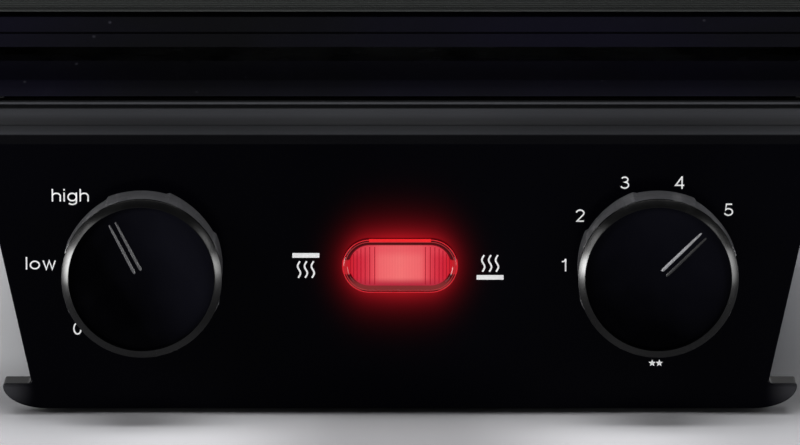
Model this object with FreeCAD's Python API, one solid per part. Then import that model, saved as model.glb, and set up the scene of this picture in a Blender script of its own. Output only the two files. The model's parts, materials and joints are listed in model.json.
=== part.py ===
import FreeCAD, Part
import math
import os

V = FreeCAD.Vector
os.makedirs("parts", exist_ok=True)

# An electric fish roaster: a control pedestal that carries a roasting chamber with a
# glazed net drawer, a drip tray under it and a smoke filter on top.
# X runs across the front, Y from the front to the back, Z up. Lengths in millimetres.

# ---- Driving dimensions ---------------------------------------------------------------

# Reach of the whole roaster
overall_width = 316.0              # across the deck
overall_depth = 344.0              # front of the door handle to the rear spacers

# Fits and sheet
running_clearance = 0.06           # round a shaft in its bush
slide_clearance = 0.3              # under what slides or lifts
side_clearance = 1.0               # beside what slides
sheet = 1.0                        # steel sheet
round_end_trim = 0.01              # keeps a round end's radius under half its width

# Rubber feet
pad_height = 2.0
pad_radius = 9.0
pad_taper = 1.0
pad_stem_radius = 3.0
pad_bulb = 1.5                     # the stem's bulb past the cover's hole
pad_bulb_height = 2.0
pad_inset_x = 22.0                 # from the sides of the bottom cover
pad_inset_y = 24.0                 # from the ends of the bottom cover

# Front and rear fascias
panel_lead = 14.0                  # control panel in front of the door
fascia_height = 86.2
fascia_depth = 12.0
fascia_wall = 3.0
fascia_low_half = 118.4            # half width over the flared foot
fascia_high_half = 135.3           # half width under the deck
flare_reach = 9.3                  # tip of the foot past the foot of the side
flare_height = 8.2                 # underside to the top of the foot
flare_tip_radius = 0.8
flare_corner_run = 14.1            # the foot's curved lower corner, along X
flare_fillet = 1.2                 # where the foot runs into the side
fascia_edge = 0.7                  # round of the outer edges

# Pedestal housing and bottom cover
pedestal_rear_gap = 37.5           # deck's rear to the rear fascia
housing_inset = 1.5                # inside the fascia's outline
housing_wall = 2.0
side_vent_count = 9
side_vent_pitch = 12.0
side_vent_width = 3.5
side_vent_height = 26.0
side_vent_rise = 34.0              # underside to the vents
bottom_vent_count = 11
bottom_vent_length = 70.0

# Deck
deck_edge = 3.1                    # upright edge
deck_rise = 6.3                    # height of the ledge, an ogee
deck_cove = ((0.0, 0.0), (0.236, 0.043), (0.423, 0.313))      # shares of run and rise:
deck_crown = ((0.431, 0.365), (0.703, 0.871), (1.0, 1.0))      # start, pull and end of each curve
deck_cove_steps = 4
deck_crown_steps = 6
deck_front_run = 13.0              # depth of the ledge at the front
deck_side_run = 5.0
deck_rear_run = 3.0
deck_low_radius = 16.0
deck_high_radius = 5.0
deck_groove = 1.2                  # between the ledge and the lip, at the front
deck_lip_width = 2.5
deck_lip_height = 2.6
deck_neck_height = 1.3             # under the lip's bead
deck_neck_depth = 1.2
deck_bead_round = 0.6
deck_lip_corner = 0.5
deck_wall = 3.0
deck_rib_count = 7
deck_pocket_radius = 8.0

# Control knobs and their shafts
knob_inset = 36.4                  # from the foot of the fascia's side
knob_axis_rise = 46.1              # underside of the fascia to the axis
knob_radius = 25.5
knob_height = 20.6
knob_gap = 0.4                     # skirt to panel
knob_wall = 2.4
knob_rim_depth = 3.0
knob_bevel = 2.3
knob_dish_radius = 22.9
knob_dish_depth = 2.0              # front rim to the edge of the face
knob_face_crown = 0.9              # face's middle over its edge
knob_face_shares = (0.0, 0.35, 0.6, 0.8, 1.0)       # of the face's radius, at its bends
knob_hub_radius = 7.0
knob_face_wall = 3.2
ridge_count = 8
ridge_stand = 0.35                 # crest proud of the front rim
ridge_step = 0.55                  # each facet's end under the next crest
ridge_flat = 0.3                   # facet's middle under an arc
ridge_step_angle = 2.5
selector_ridge_angle = 116.0       # anticlockwise from +X, seen from the front
thermostat_ridge_angle = 62.0
pointer_inner = 2.5
pointer_outer = 20.0
pointer_spacing = 2.3              # between the two raised bars
pointer_bar_width = 0.75
pointer_bar_height = 0.5
selector_pointer_angle = 117.5
thermostat_pointer_angle = 44.0
shaft_radius = 3.0
shaft_grip = 11.0                  # inside the knob's hub
shaft_reach = 14.0                 # inside the control
bush_radius = 5.0
bush_nut_radius = 7.5
bush_nut_height = 2.4
hub_gap = 1.0                      # nut to hub

# Controls behind the panel
thermostat_width = 42.0
thermostat_depth = 24.0
thermostat_height = 34.0
switch_width = 36.0
switch_depth = 30.0
switch_height = 30.0
control_round = 3.0
spade_width = 6.3
spade_thickness = 0.8
spade_length = 8.0
spade_spacing = 14.0

# Pilot lamp
lamp_axis_rise = 47.1
lens_length = 37.1
lens_height = 17.5
lens_stand = 3.0
lens_round = 1.4
lens_shoulder = 1.5                # lens body inside the lens's outline
lamp_holder_depth = 16.0

# Appliance inlet in the rear fascia
inlet_offset = -70.0
inlet_axis_rise = 42.0
inlet_width = 31.0
inlet_height = 23.0
inlet_flange = 3.0
inlet_flange_stand = 2.5
inlet_corner = 3.0
socket_width = 25.0
socket_height = 17.0
socket_depth = 16.0
inlet_back_wall = 4.0
pin_width = 2.0
pin_height = 4.2
pin_length = 9.0
pin_spread = 7.0
pin_rise = 3.0
pin_tail = 8.0

# Chamber, casing and rear panel
side_air_gap = 8.5                 # chamber's wall to the casing
door_seat_gap = 1.2                # closed door to the front frame
frame_thickness = 1.5
chamber_rear_gap = 24.0            # chamber's rear wall to the rear panel
wall_flange = 6.0
casing_radius = 14.0
header_height = 10.0               # casing above the door
top_air_gap = 20.0                 # reflector to the casing's top
reflector_lip = 4.0
spacer_length = 8.0
spacer_radius = 9.0
spacer_tip_radius = 7.0
spacer_offset = 105.0
spacer_drop = 36.0
louvre_rows = 6
louvre_columns = 3
louvre_length = 52.0
louvre_height = 5.0
louvre_stand = 2.4
louvre_pitch_z = 13.0
louvre_pitch_x = 66.0
louvre_rise = 34.0                 # casing's foot to the lowest louvre

# Drip tray
tray_front_gap = 1.3               # over the deck's lip
tray_front_height = 11.4
tray_crease = 3.0                  # depth of the finger crease
tray_crease_rise = 4.7
tray_runner_width = 12.0
tray_pan_height = 11.0
tray_pan_radius = 12.0
tray_pan_draft = 3.0
tray_rim = 2.5
tray_pan_rear_gap = 10.0           # to the chamber's rear wall
crossbar_height = 3.0
crossbar_gap = 2.7                 # over the tray's front

# Net drawer
tray_to_door_gap = 4.6
door_rail_height = 9.7
door_groove_height = 0.7
door_groove_depth = 1.6
door_groove_rise = 4.2
door_rail_wall = 1.2
strip_gap = 1.6
strip_height = 6.0
door_joint = 0.6                   # strip to door frame
door_side_gap = 2.5                # door's end to the casing's side
door_thickness = 11.0
door_corner = 8.0
door_edge = 1.5
back_sheet_inset = 4.0
window_side = 34.0                 # door's end to the window
window_low = 14.0                  # door frame's foot to the window
window_high = 36.0                 # window to the door's top
window_radius = 7.0
window_bevel = 3.0
glass_thickness = 4.0
glass_lap = 6.0
glass_clearance = 0.3
handle_reach = 38.0                # front of the handle to the door
handle_half = 104.0
handle_drop = 18.0                 # door's top to the handle's axis
handle_depth = 12.0
handle_height = 16.0
handle_round = 3.0
handle_section_radius = 5.5
post_inset = 16.0
post_half_width = 8.0
post_half_height = 5.0
post_radius = 4.5

# Carriage, its rails and the net
heater_over_tray = 11.2
rail_over_heater = 1.8
rail_ledge = 8.0
rail_hook = 3.0
rail_headroom = 0.7
carriage_height = 5.4
carriage_bar = 12.0
carriage_wall = 1.2
carriage_radius = 10.0
carriage_corner = 3.0
carriage_flange_height = 12.0
carriage_rear_gap = 20.0           # to the chamber's rear wall
net_border_radius = 1.6
net_wire_radius = 1.0
net_weld = 0.4                     # depth of the spot welds
net_wire_count = 21
net_tie_count = 2
net_tie_radius = 1.4
net_corner = 12.0
net_inset = 7.0                    # border's axis to the carriage's outside

# Heaters
heater_radius = 3.25
heater_legs = 6
heater_pitch = 40.0
heater_front_gap = 18.0            # front frame to the loops
heater_rear_gap = 26.0             # chamber's rear wall to the loops
heater_terminal = 11.0             # past the chamber's rear wall
fish_room = 54.0                   # net to the upper heater's axis
reflector_over_heater = 7.0
bead_flange_radius = 7.5
bead_flange = 3.0
bead_nose_radius = 5.0
bead_nose = 3.0
comb_thickness = 1.5
comb_lap = 1.5                     # past the heater's axis
comb_depth = 5.0                   # of a lower comb, under the heater
comb_clearance = 0.15
comb_spread = 60.0                 # of two combs, from the middle

# Vent and smoke filter
vent_half = 48.0
vent_depth = 40.0
vent_rear_gap = 14.0               # chamber's rear wall to the vent
cover_margin = 14.0
cover_height = 11.0
cover_radius = 12.0
cover_round = 3.0
cover_wall = 2.0
skirt_wall = 1.2
skirt_depth = 9.0
skirt_gap = 0.5
cover_slot_count = 9
cover_slot_width = 5.0
cover_slot_pitch = 9.5
filter_thickness = 3.0
filter_cell = 7.0
filter_bar = 1.6

# Electrics
terminal_length = 50.0
terminal_width = 16.0
terminal_height = 12.0
terminal_poles = 5
terminal_well = 2.5
terminal_rear_gap = 60.0
fuse_radius = 3.0
fuse_length = 22.0
fuse_drop = 40.0
fuse_tab = 9.0                     # fuse's axis to the top of its tab
bulb_radius = 2.5
bulb_length = 90.0
clip_spread = 54.0
bulb_stand = 2.0                   # bulb to the chamber's rear wall
bulb_drop = 22.0                   # upper heater to the bulb
clip_width = 6.0
clip_wall = 1.2

# Screws
screw_head_radius = 3.4
screw_head_height = 1.8
screw_radius = 1.6
screw_length = 5.0
screw_end_gap = 26.0
screw_rise = 11.0
screw_crown_radius = 2.2
pedestal_screw_inset = 9.0         # bottom cover's ends to its screws
door_screw_inset = 14.0            # back sheet's edge to its screws
boss_radius = 4.0
boss_inset = 14.0                  # fascia's side and ends to its screw bosses

# Wiring and the thermostat's capillary
lead_radius = 1.3
lead_bend = 6.0
lead_rise = 6.0                    # over the bottom cover
lead_run = 18.0                    # straight, off each terminal
loom_ribs = 2                      # deck's ribs between the middle one and the loom
loom_pitch = 6.5
loom_shift = 3.25                  # strands off the slot's middle, towards the centre
loom_slot_length = 25.0
loom_slot_width = 8.0
loom_front_gap = 15.0              # housing's rear end to the slot in its top
loom_rear_gap = 8.0                # rear panel to the slot in the deck
capillary_radius = 0.9
capillary_gap = 8.0                # bulb's end to the hole in the chamber's back

# ---- Places worked out from them -------------------------------------------------------

half_width = overall_width / 2
front_reach = -overall_depth / 2
rear_reach = overall_depth / 2

# Front to back
door_front = front_reach + handle_reach
door_back = door_front + door_thickness
door_inside = door_back + sheet
chamber_front = door_inside + door_seat_gap
frame_back = chamber_front + frame_thickness
panel_front = door_front - panel_lead
panel_back = panel_front + fascia_wall
housing_front = panel_front + fascia_depth
casing_rear = rear_reach - spacer_length
panel_sheet_front = casing_rear - sheet
chamber_rear = panel_sheet_front - chamber_rear_gap - sheet
deck_rear = casing_rear + deck_lip_width + deck_rear_run
pedestal_rear = deck_rear - pedestal_rear_gap
housing_rear = pedestal_rear - fascia_depth

# Across
casing_half = half_width - deck_side_run - deck_lip_width
casing_inner_half = casing_half - sheet
chamber_half = casing_inner_half - side_air_gap - sheet    # inside its walls
door_half = casing_half - door_side_gap
carriage_half = chamber_half - sheet - side_clearance
net_half = carriage_half - net_inset
knob_offset = fascia_low_half - knob_inset
deck_inner_half = half_width - deck_pocket_radius
rib_pitch = 2 * deck_inner_half / (deck_rib_count + 1)
loom_middle = (loom_ribs + 0.5) * rib_pitch

# Bottom to top
underside = pad_height
flare_top = underside + flare_height
flare_half = fascia_low_half + flare_reach
deck_bottom = underside + fascia_height
deck_shoulder = deck_bottom + deck_edge
deck_top = deck_shoulder + deck_rise
lip_top = deck_top + deck_lip_height
floor_top = deck_top + sheet
tray_low = lip_top + tray_front_gap
tray_high = tray_low + tray_front_height
pan_low = tray_low + slide_clearance
pan_high = pan_low + tray_pan_height
door_low = tray_high + tray_to_door_gap
door_rail_top = door_low + door_rail_height
strip_low = door_rail_top + strip_gap
strip_top = strip_low + strip_height
door_frame_low = strip_top + door_joint
crossbar_low = tray_high + crossbar_gap
crossbar_top = crossbar_low + crossbar_height
lower_heater_axis = pan_high + heater_over_tray
rail_low = lower_heater_axis + heater_radius + rail_over_heater
ledge_top = rail_low + sheet
carriage_low = ledge_top + slide_clearance
carriage_top = carriage_low + carriage_height
net_axis = carriage_top + slide_clearance + net_border_radius
net_wire_axis = net_axis + net_border_radius + net_wire_radius - net_weld
net_top = net_wire_axis + net_wire_radius
upper_heater_axis = net_top + fish_room
reflector_low = upper_heater_axis + heater_radius + reflector_over_heater
reflector_top = reflector_low + sheet
casing_top = reflector_top + top_air_gap
door_top = casing_top - header_height
cover_low = casing_top + slide_clearance
cover_top = cover_low + cover_height

# Controls, carriage and net, front to back
knob_axis = underside + knob_axis_rise
lamp_axis = underside + lamp_axis_rise
inlet_axis = underside + inlet_axis_rise
knob_back = panel_front - knob_gap
knob_front = knob_back - knob_height
nut_front = panel_front - bush_nut_height
hub_back = nut_front - hub_gap
shaft_front = hub_back - shaft_grip
shaft_back = panel_back + shaft_reach
carriage_rear = chamber_rear - carriage_rear_gap
net_front = door_inside + net_inset
net_rear = carriage_rear - net_inset
vent_rear = chamber_rear - vent_rear_gap
vent_front = vent_rear - vent_depth

pieces = {}


# ---- Forms that several pieces share ---------------------------------------------------

def block(x0, x1, y0, y1, z0, z1):
    return Part.makeBox(x1 - x0, y1 - y0, z1 - z0, V(x0, y0, z0))


def rod_x(x0, x1, y, z, radius):
    return Part.makeCylinder(radius, x1 - x0, V(x0, y, z), V(1, 0, 0))


def rod_y(x, y0, y1, z, radius):
    return Part.makeCylinder(radius, y1 - y0, V(x, y0, z), V(0, 1, 0))


def rod_z(x, y, z0, z1, radius):
    return Part.makeCylinder(radius, z1 - z0, V(x, y, z0), V(0, 0, 1))


def joined(shapes):
    first, *others = shapes
    return first.fuse(others).removeSplitter() if others else first


def both_sides(shape):
    return [shape, shape.mirror(V(0, 0, 0), V(1, 0, 0))]


def round_corner_wire(x0, x1, y0, y1, radius, z):
    # a rectangle with round corners, lying flat at height z
    corners = [(x1 - radius, y0 + radius, -90), (x1 - radius, y1 - radius, 0),
               (x0 + radius, y1 - radius, 90), (x0 + radius, y0 + radius, 180)]
    arcs = []
    for cx, cy, start in corners:
        turns = [math.radians(start + step) for step in (0, 45, 90)]
        arcs.append([V(cx + radius * math.cos(t), cy + radius * math.sin(t), z) for t in turns])
    edges = []
    for index, points in enumerate(arcs):
        following = arcs[(index + 1) % len(arcs)]
        edges.append(Part.Arc(*points).toShape())
        edges.append(Part.makeLine(points[-1], following[0]))
    return Part.Wire(edges)


def slab(x0, x1, y0, y1, radius, z0, z1):
    wire = round_corner_wire(x0, x1, y0, y1, radius, z0)
    return Part.Face(wire).extrude(V(0, 0, z1 - z0))


def upright_wire(x0, x1, z0, z1, radius, y):
    # the same rectangle standing across the front, at depth y
    wire = round_corner_wire(x0, x1, z0, z1, radius, 0)
    wire.rotate(V(0, 0, 0), V(1, 0, 0), 90)
    wire.translate(V(0, y, 0))
    return wire


def upright_slab(x0, x1, z0, z1, radius, y0, y1):
    return Part.Face(upright_wire(x0, x1, z0, z1, radius, y0)).extrude(V(0, y1 - y0, 0))


def side_slab(y0, y1, z0, z1, radius, x0, x1):
    # a round-cornered section in Y and Z, run from x0 to x1
    wire = round_corner_wire(y0, y1, z0, z1, radius, 0)
    wire.rotate(V(0, 0, 0), V(1, 0, 0), 90)
    wire.rotate(V(0, 0, 0), V(0, 0, 1), 90)
    wire.translate(V(x0, 0, 0))
    return Part.Face(wire).extrude(V(x1 - x0, 0, 0))


def section_along_y(points, y0, y1):
    # an outline of (x, z) points, run from y0 to y1
    wire = Part.makePolygon([V(x, y0, z) for x, z in points + points[:1]])
    return Part.Face(wire).extrude(V(0, y1 - y0, 0))


def section_along_x(points, x0, x1):
    # an outline of (y, z) points, run from x0 to x1
    wire = Part.makePolygon([V(x0, y, z) for y, z in points + points[:1]])
    return Part.Face(wire).extrude(V(x1 - x0, 0, 0))


def turned_about_y(points, x, z):
    # an outline of (radius, y) points, turned about an axis along Y
    wire = Part.makePolygon([V(r, y, 0) for r, y in points + points[:1]])
    solid = Part.Face(wire).revolve(V(0, 0, 0), V(0, 1, 0), 360)
    solid.translate(V(x, 0, z))
    return solid


def arch(half, z0, z1, radius, y0, y1):
    # a block whose two upper corners are round, as the casing's section is
    lower = block(-half, half, y0, y1, z0, z1 - radius)
    upper = upright_slab(-half, half, z0, z1, radius, y0, y1)
    return joined([lower, upper])


def stadium(x, z, length, height, inset, y0, y1):
    half_length = length / 2 - inset
    half_height = height / 2 - inset
    edge = half_height - round_end_trim
    return upright_slab(x - half_length, x + half_length, z - half_height, z + half_height,
                        edge, y0, y1)


def swept_tube(path, start, direction, radius):
    ring = Part.Wire(Part.makeCircle(radius, start, direction))
    return path.makePipeShell([ring], True, True)


def spread(count, pitch, middle=0.0):
    return [middle + (index - (count - 1) / 2) * pitch for index in range(count)]


def edges_on_plane(shape, axis, place):
    # edges that lie wholly in the plane where that coordinate equals place
    low, high = axis + "Min", axis + "Max"
    found = []
    for edge in shape.Edges:
        bounds = edge.BoundBox
        if abs(getattr(bounds, low) - place) < 1e-3 and abs(getattr(bounds, high) - place) < 1e-3:
            found.append(edge)
    return found


bend_share = 0.45                  # most of a short run that one bend may take up


def routed_tube(points, radius, bend):
    # straight runs joined by tangent arcs, swept with a round section
    corners = [V(*point) for point in points]
    edges = []
    here = corners[0]
    for before, corner, after in zip(corners, corners[1:], corners[2:]):
        back, ahead = (before - corner).normalize(), (after - corner).normalize()
        half_turn = back.getAngle(ahead) / 2
        shortest = min((before - corner).Length, (after - corner).Length)
        reach = min(bend / math.tan(half_turn), shortest * bend_share)
        inside = (back + ahead).normalize()
        to_centre = reach / math.cos(half_turn)
        crown = corner + inside * (to_centre - reach * math.tan(half_turn))
        arc_start, arc_end = corner + back * reach, corner + ahead * reach
        edges.append(Part.makeLine(here, arc_start))
        edges.append(Part.Arc(arc_start, crown, arc_end).toShape())
        here = arc_end
    edges.append(Part.makeLine(here, corners[-1]))
    return swept_tube(Part.Wire(edges), corners[0], corners[1] - corners[0], radius)


def pan_screw(place, direction):
    # a pan-head screw whose head sits on the sheet at that place
    head = Part.makeCone(screw_head_radius, screw_crown_radius, screw_head_height, place, direction)
    shank = Part.makeCylinder(screw_radius, screw_length, place, direction * -1)
    return joined([head, shank])


def screw_hole(place, direction):
    return Part.makeCylinder(screw_radius, screw_length, place, direction * -1)


# ---- Pedestal ---------------------------------------------------------------------------

side_slope = (fascia_high_half - fascia_low_half) / (deck_bottom - flare_top)


def pedestal_half(z, inset=0.0):
    # half width of the pedestal's tapered sides at height z
    return fascia_low_half + (z - flare_top) * side_slope - inset


def tapered_section(z0, z1, inset, y0, y1):
    low, high = pedestal_half(z0, inset), pedestal_half(z1, inset)
    return section_along_y([(-low, z0), (low, z0), (high, z1), (-high, z1)], y0, y1)


def fascia_outline(y):
    # flared feet with a curved lower corner, a tight fillet and straight tapered sides
    lean = math.atan(side_slope)
    between = math.pi / 2 - lean
    reach = flare_fillet / math.tan(between / 2)
    to_centre = flare_fillet / math.sin(between / 2)
    halfway = between / 2
    centre = V(fascia_low_half + to_centre * math.cos(halfway), y,
               flare_top + to_centre * math.sin(halfway))
    on_foot = V(fascia_low_half + reach, y, flare_top)
    on_side = V(fascia_low_half + reach * math.sin(lean), y, flare_top + reach * math.cos(lean))
    bend = centre - V(math.cos(halfway), 0, math.sin(halfway)) * flare_fillet
    tip_low = flare_top - flare_tip_radius
    tip_in = flare_half - flare_tip_radius
    diagonal = flare_tip_radius * math.sqrt(0.5)
    corner_x = flare_half - flare_corner_run
    corner = Part.Ellipse(V(flare_half, y, tip_low), V(corner_x, y, underside), V(corner_x, y, tip_low))
    side_edges = [
        Part.ArcOfEllipse(corner, 0, math.pi / 2).toShape(),
        Part.Arc(V(flare_half, y, tip_low), V(tip_in + diagonal, y, tip_low + diagonal),
                 V(tip_in, y, flare_top)).toShape(),
        Part.makeLine(V(tip_in, y, flare_top), on_foot),
        Part.Arc(on_foot, bend, on_side).toShape(),
        Part.makeLine(on_side, V(fascia_high_half, y, deck_bottom)),
    ]
    edges = [Part.makeLine(V(-corner_x, y, underside), V(corner_x, y, underside)),
             Part.makeLine(V(-fascia_high_half, y, deck_bottom), V(fascia_high_half, y, deck_bottom))]
    for edge in side_edges:
        edges += both_sides(edge)
    return Part.Wire(Part.__sortEdges__(edges))


def fascia(outer_y, inner_y):
    # a moulded tray: a full front wall, and a rim that meets the housing
    body = Part.Face(fascia_outline(outer_y)).extrude(V(0, inner_y - outer_y, 0))
    outer_edges = [edge for edge in edges_on_plane(body, "Y", outer_y)
                   if edge.BoundBox.ZMax < deck_bottom - sheet or edge.BoundBox.XLength < fascia_high_half]
    body = body.makeFillet(fascia_edge, outer_edges)
    into = math.copysign(fascia_wall, inner_y - outer_y)
    low, high = sorted([outer_y + into, inner_y])
    hollow = tapered_section(underside + fascia_wall, deck_bottom - fascia_wall, fascia_wall, low, high)
    for z in (underside + boss_inset, deck_bottom - boss_inset):
        for x in (boss_inset - pedestal_half(z), pedestal_half(z) - boss_inset):
            hollow = hollow.cut(rod_y(x, low, high, z, boss_radius))
    return body.cut(hollow)


front_fascia = fascia(panel_front, housing_front)
for offset in (-knob_offset, knob_offset):
    front_fascia = front_fascia.cut(rod_y(offset, panel_front, panel_back, knob_axis, bush_radius))
pieces["front_fascia"] = front_fascia.cut(
    stadium(0, lamp_axis, lens_length, lens_height, lens_shoulder, panel_front, panel_back))

inlet_hole = upright_slab(inlet_offset - inlet_width / 2, inlet_offset + inlet_width / 2,
                          inlet_axis - inlet_height / 2, inlet_axis + inlet_height / 2,
                          inlet_corner, housing_rear, pedestal_rear)
rear_fascia = fascia(pedestal_rear, housing_rear).cut(inlet_hole)

loom_front = housing_rear - loom_front_gap
loom_rear = panel_sheet_front - loom_rear_gap


def loom_slots(y, z0, z1):
    # a pair of slots, one each side, for the leads that rise from the pedestal
    slot = slab(loom_middle - loom_slot_length / 2, loom_middle + loom_slot_length / 2,
                y - loom_slot_width / 2, y + loom_slot_width / 2,
                loom_slot_width / 2 - round_end_trim, z0, z1)
    return both_sides(slot)


housing = tapered_section(underside, deck_bottom, housing_inset, housing_front, housing_rear)
housing = housing.cut(tapered_section(underside, deck_bottom - housing_wall,
                                      housing_inset + housing_wall, housing_front, housing_rear))
vent_low = underside + side_vent_rise
for place in spread(side_vent_count, side_vent_pitch, (housing_front + housing_rear) / 2):
    slot = slab(-half_width, half_width, place - side_vent_width / 2, place + side_vent_width / 2,
                side_vent_width / 2 - round_end_trim, vent_low, vent_low + side_vent_height)
    housing = housing.cut(slot)
for slot in loom_slots(loom_front, deck_bottom - housing_wall, deck_bottom):
    housing = housing.cut(slot)
pieces["pedestal_housing"] = housing

cover_half = pedestal_half(underside, housing_inset + housing_wall)
cover_inside = underside + housing_wall
bottom_cover = tapered_section(underside, cover_inside, housing_inset + housing_wall,
                               housing_front, housing_rear)
pad_places = [(side * (cover_half - pad_inset_x), end)
              for side in (-1, 1)
              for end in (housing_front + pad_inset_y, housing_rear - pad_inset_y)]
for x, y in pad_places:
    bottom_cover = bottom_cover.cut(rod_z(x, y, underside, cover_inside, pad_stem_radius))
bottom_middle = (housing_front + housing_rear) / 2
for place in spread(bottom_vent_count, side_vent_pitch):
    bottom_cover = bottom_cover.cut(block(place - side_vent_width / 2, place + side_vent_width / 2,
                                          bottom_middle - bottom_vent_length / 2,
                                          bottom_middle + bottom_vent_length / 2,
                                          underside, cover_inside))
pieces["bottom_cover"] = bottom_cover


def rubber_foot(x, y):
    outline = [(0, 0), (pad_radius - pad_taper, 0), (pad_radius, underside), (pad_stem_radius, underside),
               (pad_stem_radius, cover_inside), (pad_stem_radius + pad_bulb, cover_inside),
               (pad_stem_radius, cover_inside + pad_bulb_height), (0, cover_inside + pad_bulb_height)]
    wire = Part.makePolygon([V(r, 0, z) for r, z in outline + outline[:1]])
    foot = Part.Face(wire).revolve(V(0, 0, 0), V(0, 0, 1), 360)
    foot.translate(V(x, y, 0))
    return foot


pieces["rubber_feet"] = Part.makeCompound([rubber_foot(x, y) for x, y in pad_places])


# ---- Deck ------------------------------------------------------------------------------

def deck_plan(z, front_run, side_run, rear_run, radius):
    return round_corner_wire(-half_width + side_run, half_width - side_run,
                             panel_front + front_run, deck_rear - rear_run, radius, z)


def curve_points(start, pull, end, steps):
    # points along a curve that leaves start and reaches end, both towards pull
    points = []
    for index in range(steps + 1):
        t = index / steps
        points.append(tuple((1 - t) ** 2 * a + 2 * t * (1 - t) * b + t ** 2 * c
                            for a, b, c in zip(start, pull, end)))
    return points


def make_deck():
    edge_wire = deck_plan(deck_bottom, 0, 0, 0, deck_low_radius)
    base = Part.Face(edge_wire).extrude(V(0, 0, deck_edge))
    ledge = curve_points(*deck_cove, deck_cove_steps) + curve_points(*deck_crown, deck_crown_steps)
    levels = [deck_plan(deck_shoulder + rise * deck_rise, run * deck_front_run, run * deck_side_run,
                        run * deck_rear_run, deck_low_radius + run * (deck_high_radius - deck_low_radius))
              for run, rise in ledge]
    deck = joined([base, Part.makeLoft(levels, True, True)])
    # the lip stands behind the groove and holds the casing's foot: a bead on a narrower neck
    lip_front = panel_front + deck_front_run + deck_groove
    lip_half = casing_half + deck_lip_width
    neck_top = deck_top + deck_neck_height
    neck = slab(-lip_half + deck_neck_depth, lip_half - deck_neck_depth, lip_front + deck_neck_depth,
                casing_rear + deck_lip_width - deck_neck_depth, deck_high_radius - deck_neck_depth,
                deck_top, neck_top)
    bead = slab(-lip_half, lip_half, lip_front, casing_rear + deck_lip_width, deck_high_radius,
                neck_top, lip_top)
    bead = bead.makeFillet(deck_bead_round, edges_on_plane(bead, "Z", lip_top))
    lip = joined([neck, bead])
    lip = lip.cut(slab(-casing_half, casing_half, lip_front + deck_lip_width, casing_rear,
                       deck_lip_corner, deck_top, lip_top))
    deck = joined([deck, lip])
    # hollow underneath, with ribs from front to back
    pocket_top = deck_top - deck_wall
    pocket_front = panel_front + deck_front_run
    pocket_rear = deck_rear - deck_pocket_radius
    pocket = slab(-deck_inner_half, deck_inner_half, pocket_front, pocket_rear, deck_pocket_radius,
                  deck_bottom, pocket_top)
    for place in spread(deck_rib_count, rib_pitch):
        pocket = pocket.cut(block(place - deck_wall / 2, place + deck_wall / 2,
                                  pocket_front, pocket_rear, deck_bottom, pocket_top))
    deck = deck.cut(pocket)
    for slot in loom_slots(loom_rear, pocket_top, deck_top):
        deck = deck.cut(slot)
    return deck


pieces["deck"] = make_deck()
# the sheet that closes the deck's underside behind the pedestal
pieces["wiring_cover"] = slab(-fascia_low_half, fascia_low_half, pedestal_rear, deck_rear - deck_wall,
                              deck_wall, deck_bottom - sheet, deck_bottom)


# ---- Chamber and casing ------------------------------------------------------------------

pieces["chamber_floor"] = block(-casing_inner_half, casing_inner_half, frame_back,
                                chamber_rear + sheet + wall_flange, deck_top, floor_top)

wall_outer = chamber_half + sheet
side_wall = section_along_y([
    (chamber_half, floor_top), (wall_outer + wall_flange, floor_top),
    (wall_outer + wall_flange, floor_top + sheet), (wall_outer, floor_top + sheet),
    (wall_outer, reflector_low - sheet), (wall_outer + wall_flange, reflector_low - sheet),
    (wall_outer + wall_flange, reflector_low), (chamber_half, reflector_low)],
    frame_back, chamber_rear + sheet)
right_wall, left_wall = both_sides(side_wall)
pieces["chamber_wall_left"] = left_wall
pieces["chamber_wall_right"] = right_wall

vent_passage = block(-vent_half + sheet, vent_half - sheet, vent_front + sheet, vent_rear - sheet,
                     reflector_low, cover_top)
reflector = block(-wall_outer - wall_flange, wall_outer + wall_flange, frame_back, chamber_rear + sheet,
                  reflector_low, reflector_top)
reflector_edge = block(-chamber_half, chamber_half, frame_back, frame_back + sheet,
                       reflector_low - reflector_lip, reflector_low)
pieces["upper_reflector"] = joined([reflector, reflector_edge]).cut(vent_passage)

casing = arch(casing_half, deck_top, casing_top, casing_radius, chamber_front, panel_sheet_front)
casing = casing.cut(arch(casing_inner_half, deck_top, casing_top - sheet, casing_radius - sheet,
                         chamber_front, panel_sheet_front))
casing = casing.cut(vent_passage)

frame = arch(casing_inner_half, deck_top, casing_top - sheet, casing_radius - sheet,
             chamber_front, frame_back)
tray_mouth = block(-chamber_half, chamber_half, chamber_front, frame_back, deck_top, crossbar_low)
drawer_mouth = block(-chamber_half, chamber_half, chamber_front, frame_back, crossbar_top, reflector_low)
pieces["front_frame"] = frame.cut(tray_mouth).cut(drawer_mouth)

rear_panel = arch(casing_half, deck_top, casing_top, casing_radius, panel_sheet_front, casing_rear)
hoods = []
for x in spread(louvre_columns, louvre_pitch_x):
    for row in range(louvre_rows):
        z = deck_top + louvre_rise + row * louvre_pitch_z
        x0, x1 = x - louvre_length / 2, x + louvre_length / 2
        opening_top = z + louvre_height - sheet
        rear_panel = rear_panel.cut(block(x0, x1, panel_sheet_front, casing_rear, z, opening_top))
        hoods.append(section_along_x([
            (casing_rear, z + louvre_height), (casing_rear + louvre_stand, z + sheet / 2),
            (casing_rear + louvre_stand, z), (casing_rear + louvre_stand - sheet, z),
            (casing_rear, opening_top)], x0, x1))
rear_panel = joined([rear_panel] + hoods)

chamber_back = block(-chamber_half, chamber_half, chamber_rear, chamber_rear + sheet,
                     floor_top, reflector_low)


def spacer(x):
    z = casing_top - spacer_drop
    return turned_about_y([(0, casing_rear), (spacer_radius, casing_rear),
                           (spacer_tip_radius, rear_reach), (0, rear_reach)], x, z)


pieces["rear_spacers"] = Part.makeCompound([spacer(-spacer_offset), spacer(spacer_offset)])


# ---- Heaters -----------------------------------------------------------------------------

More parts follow.
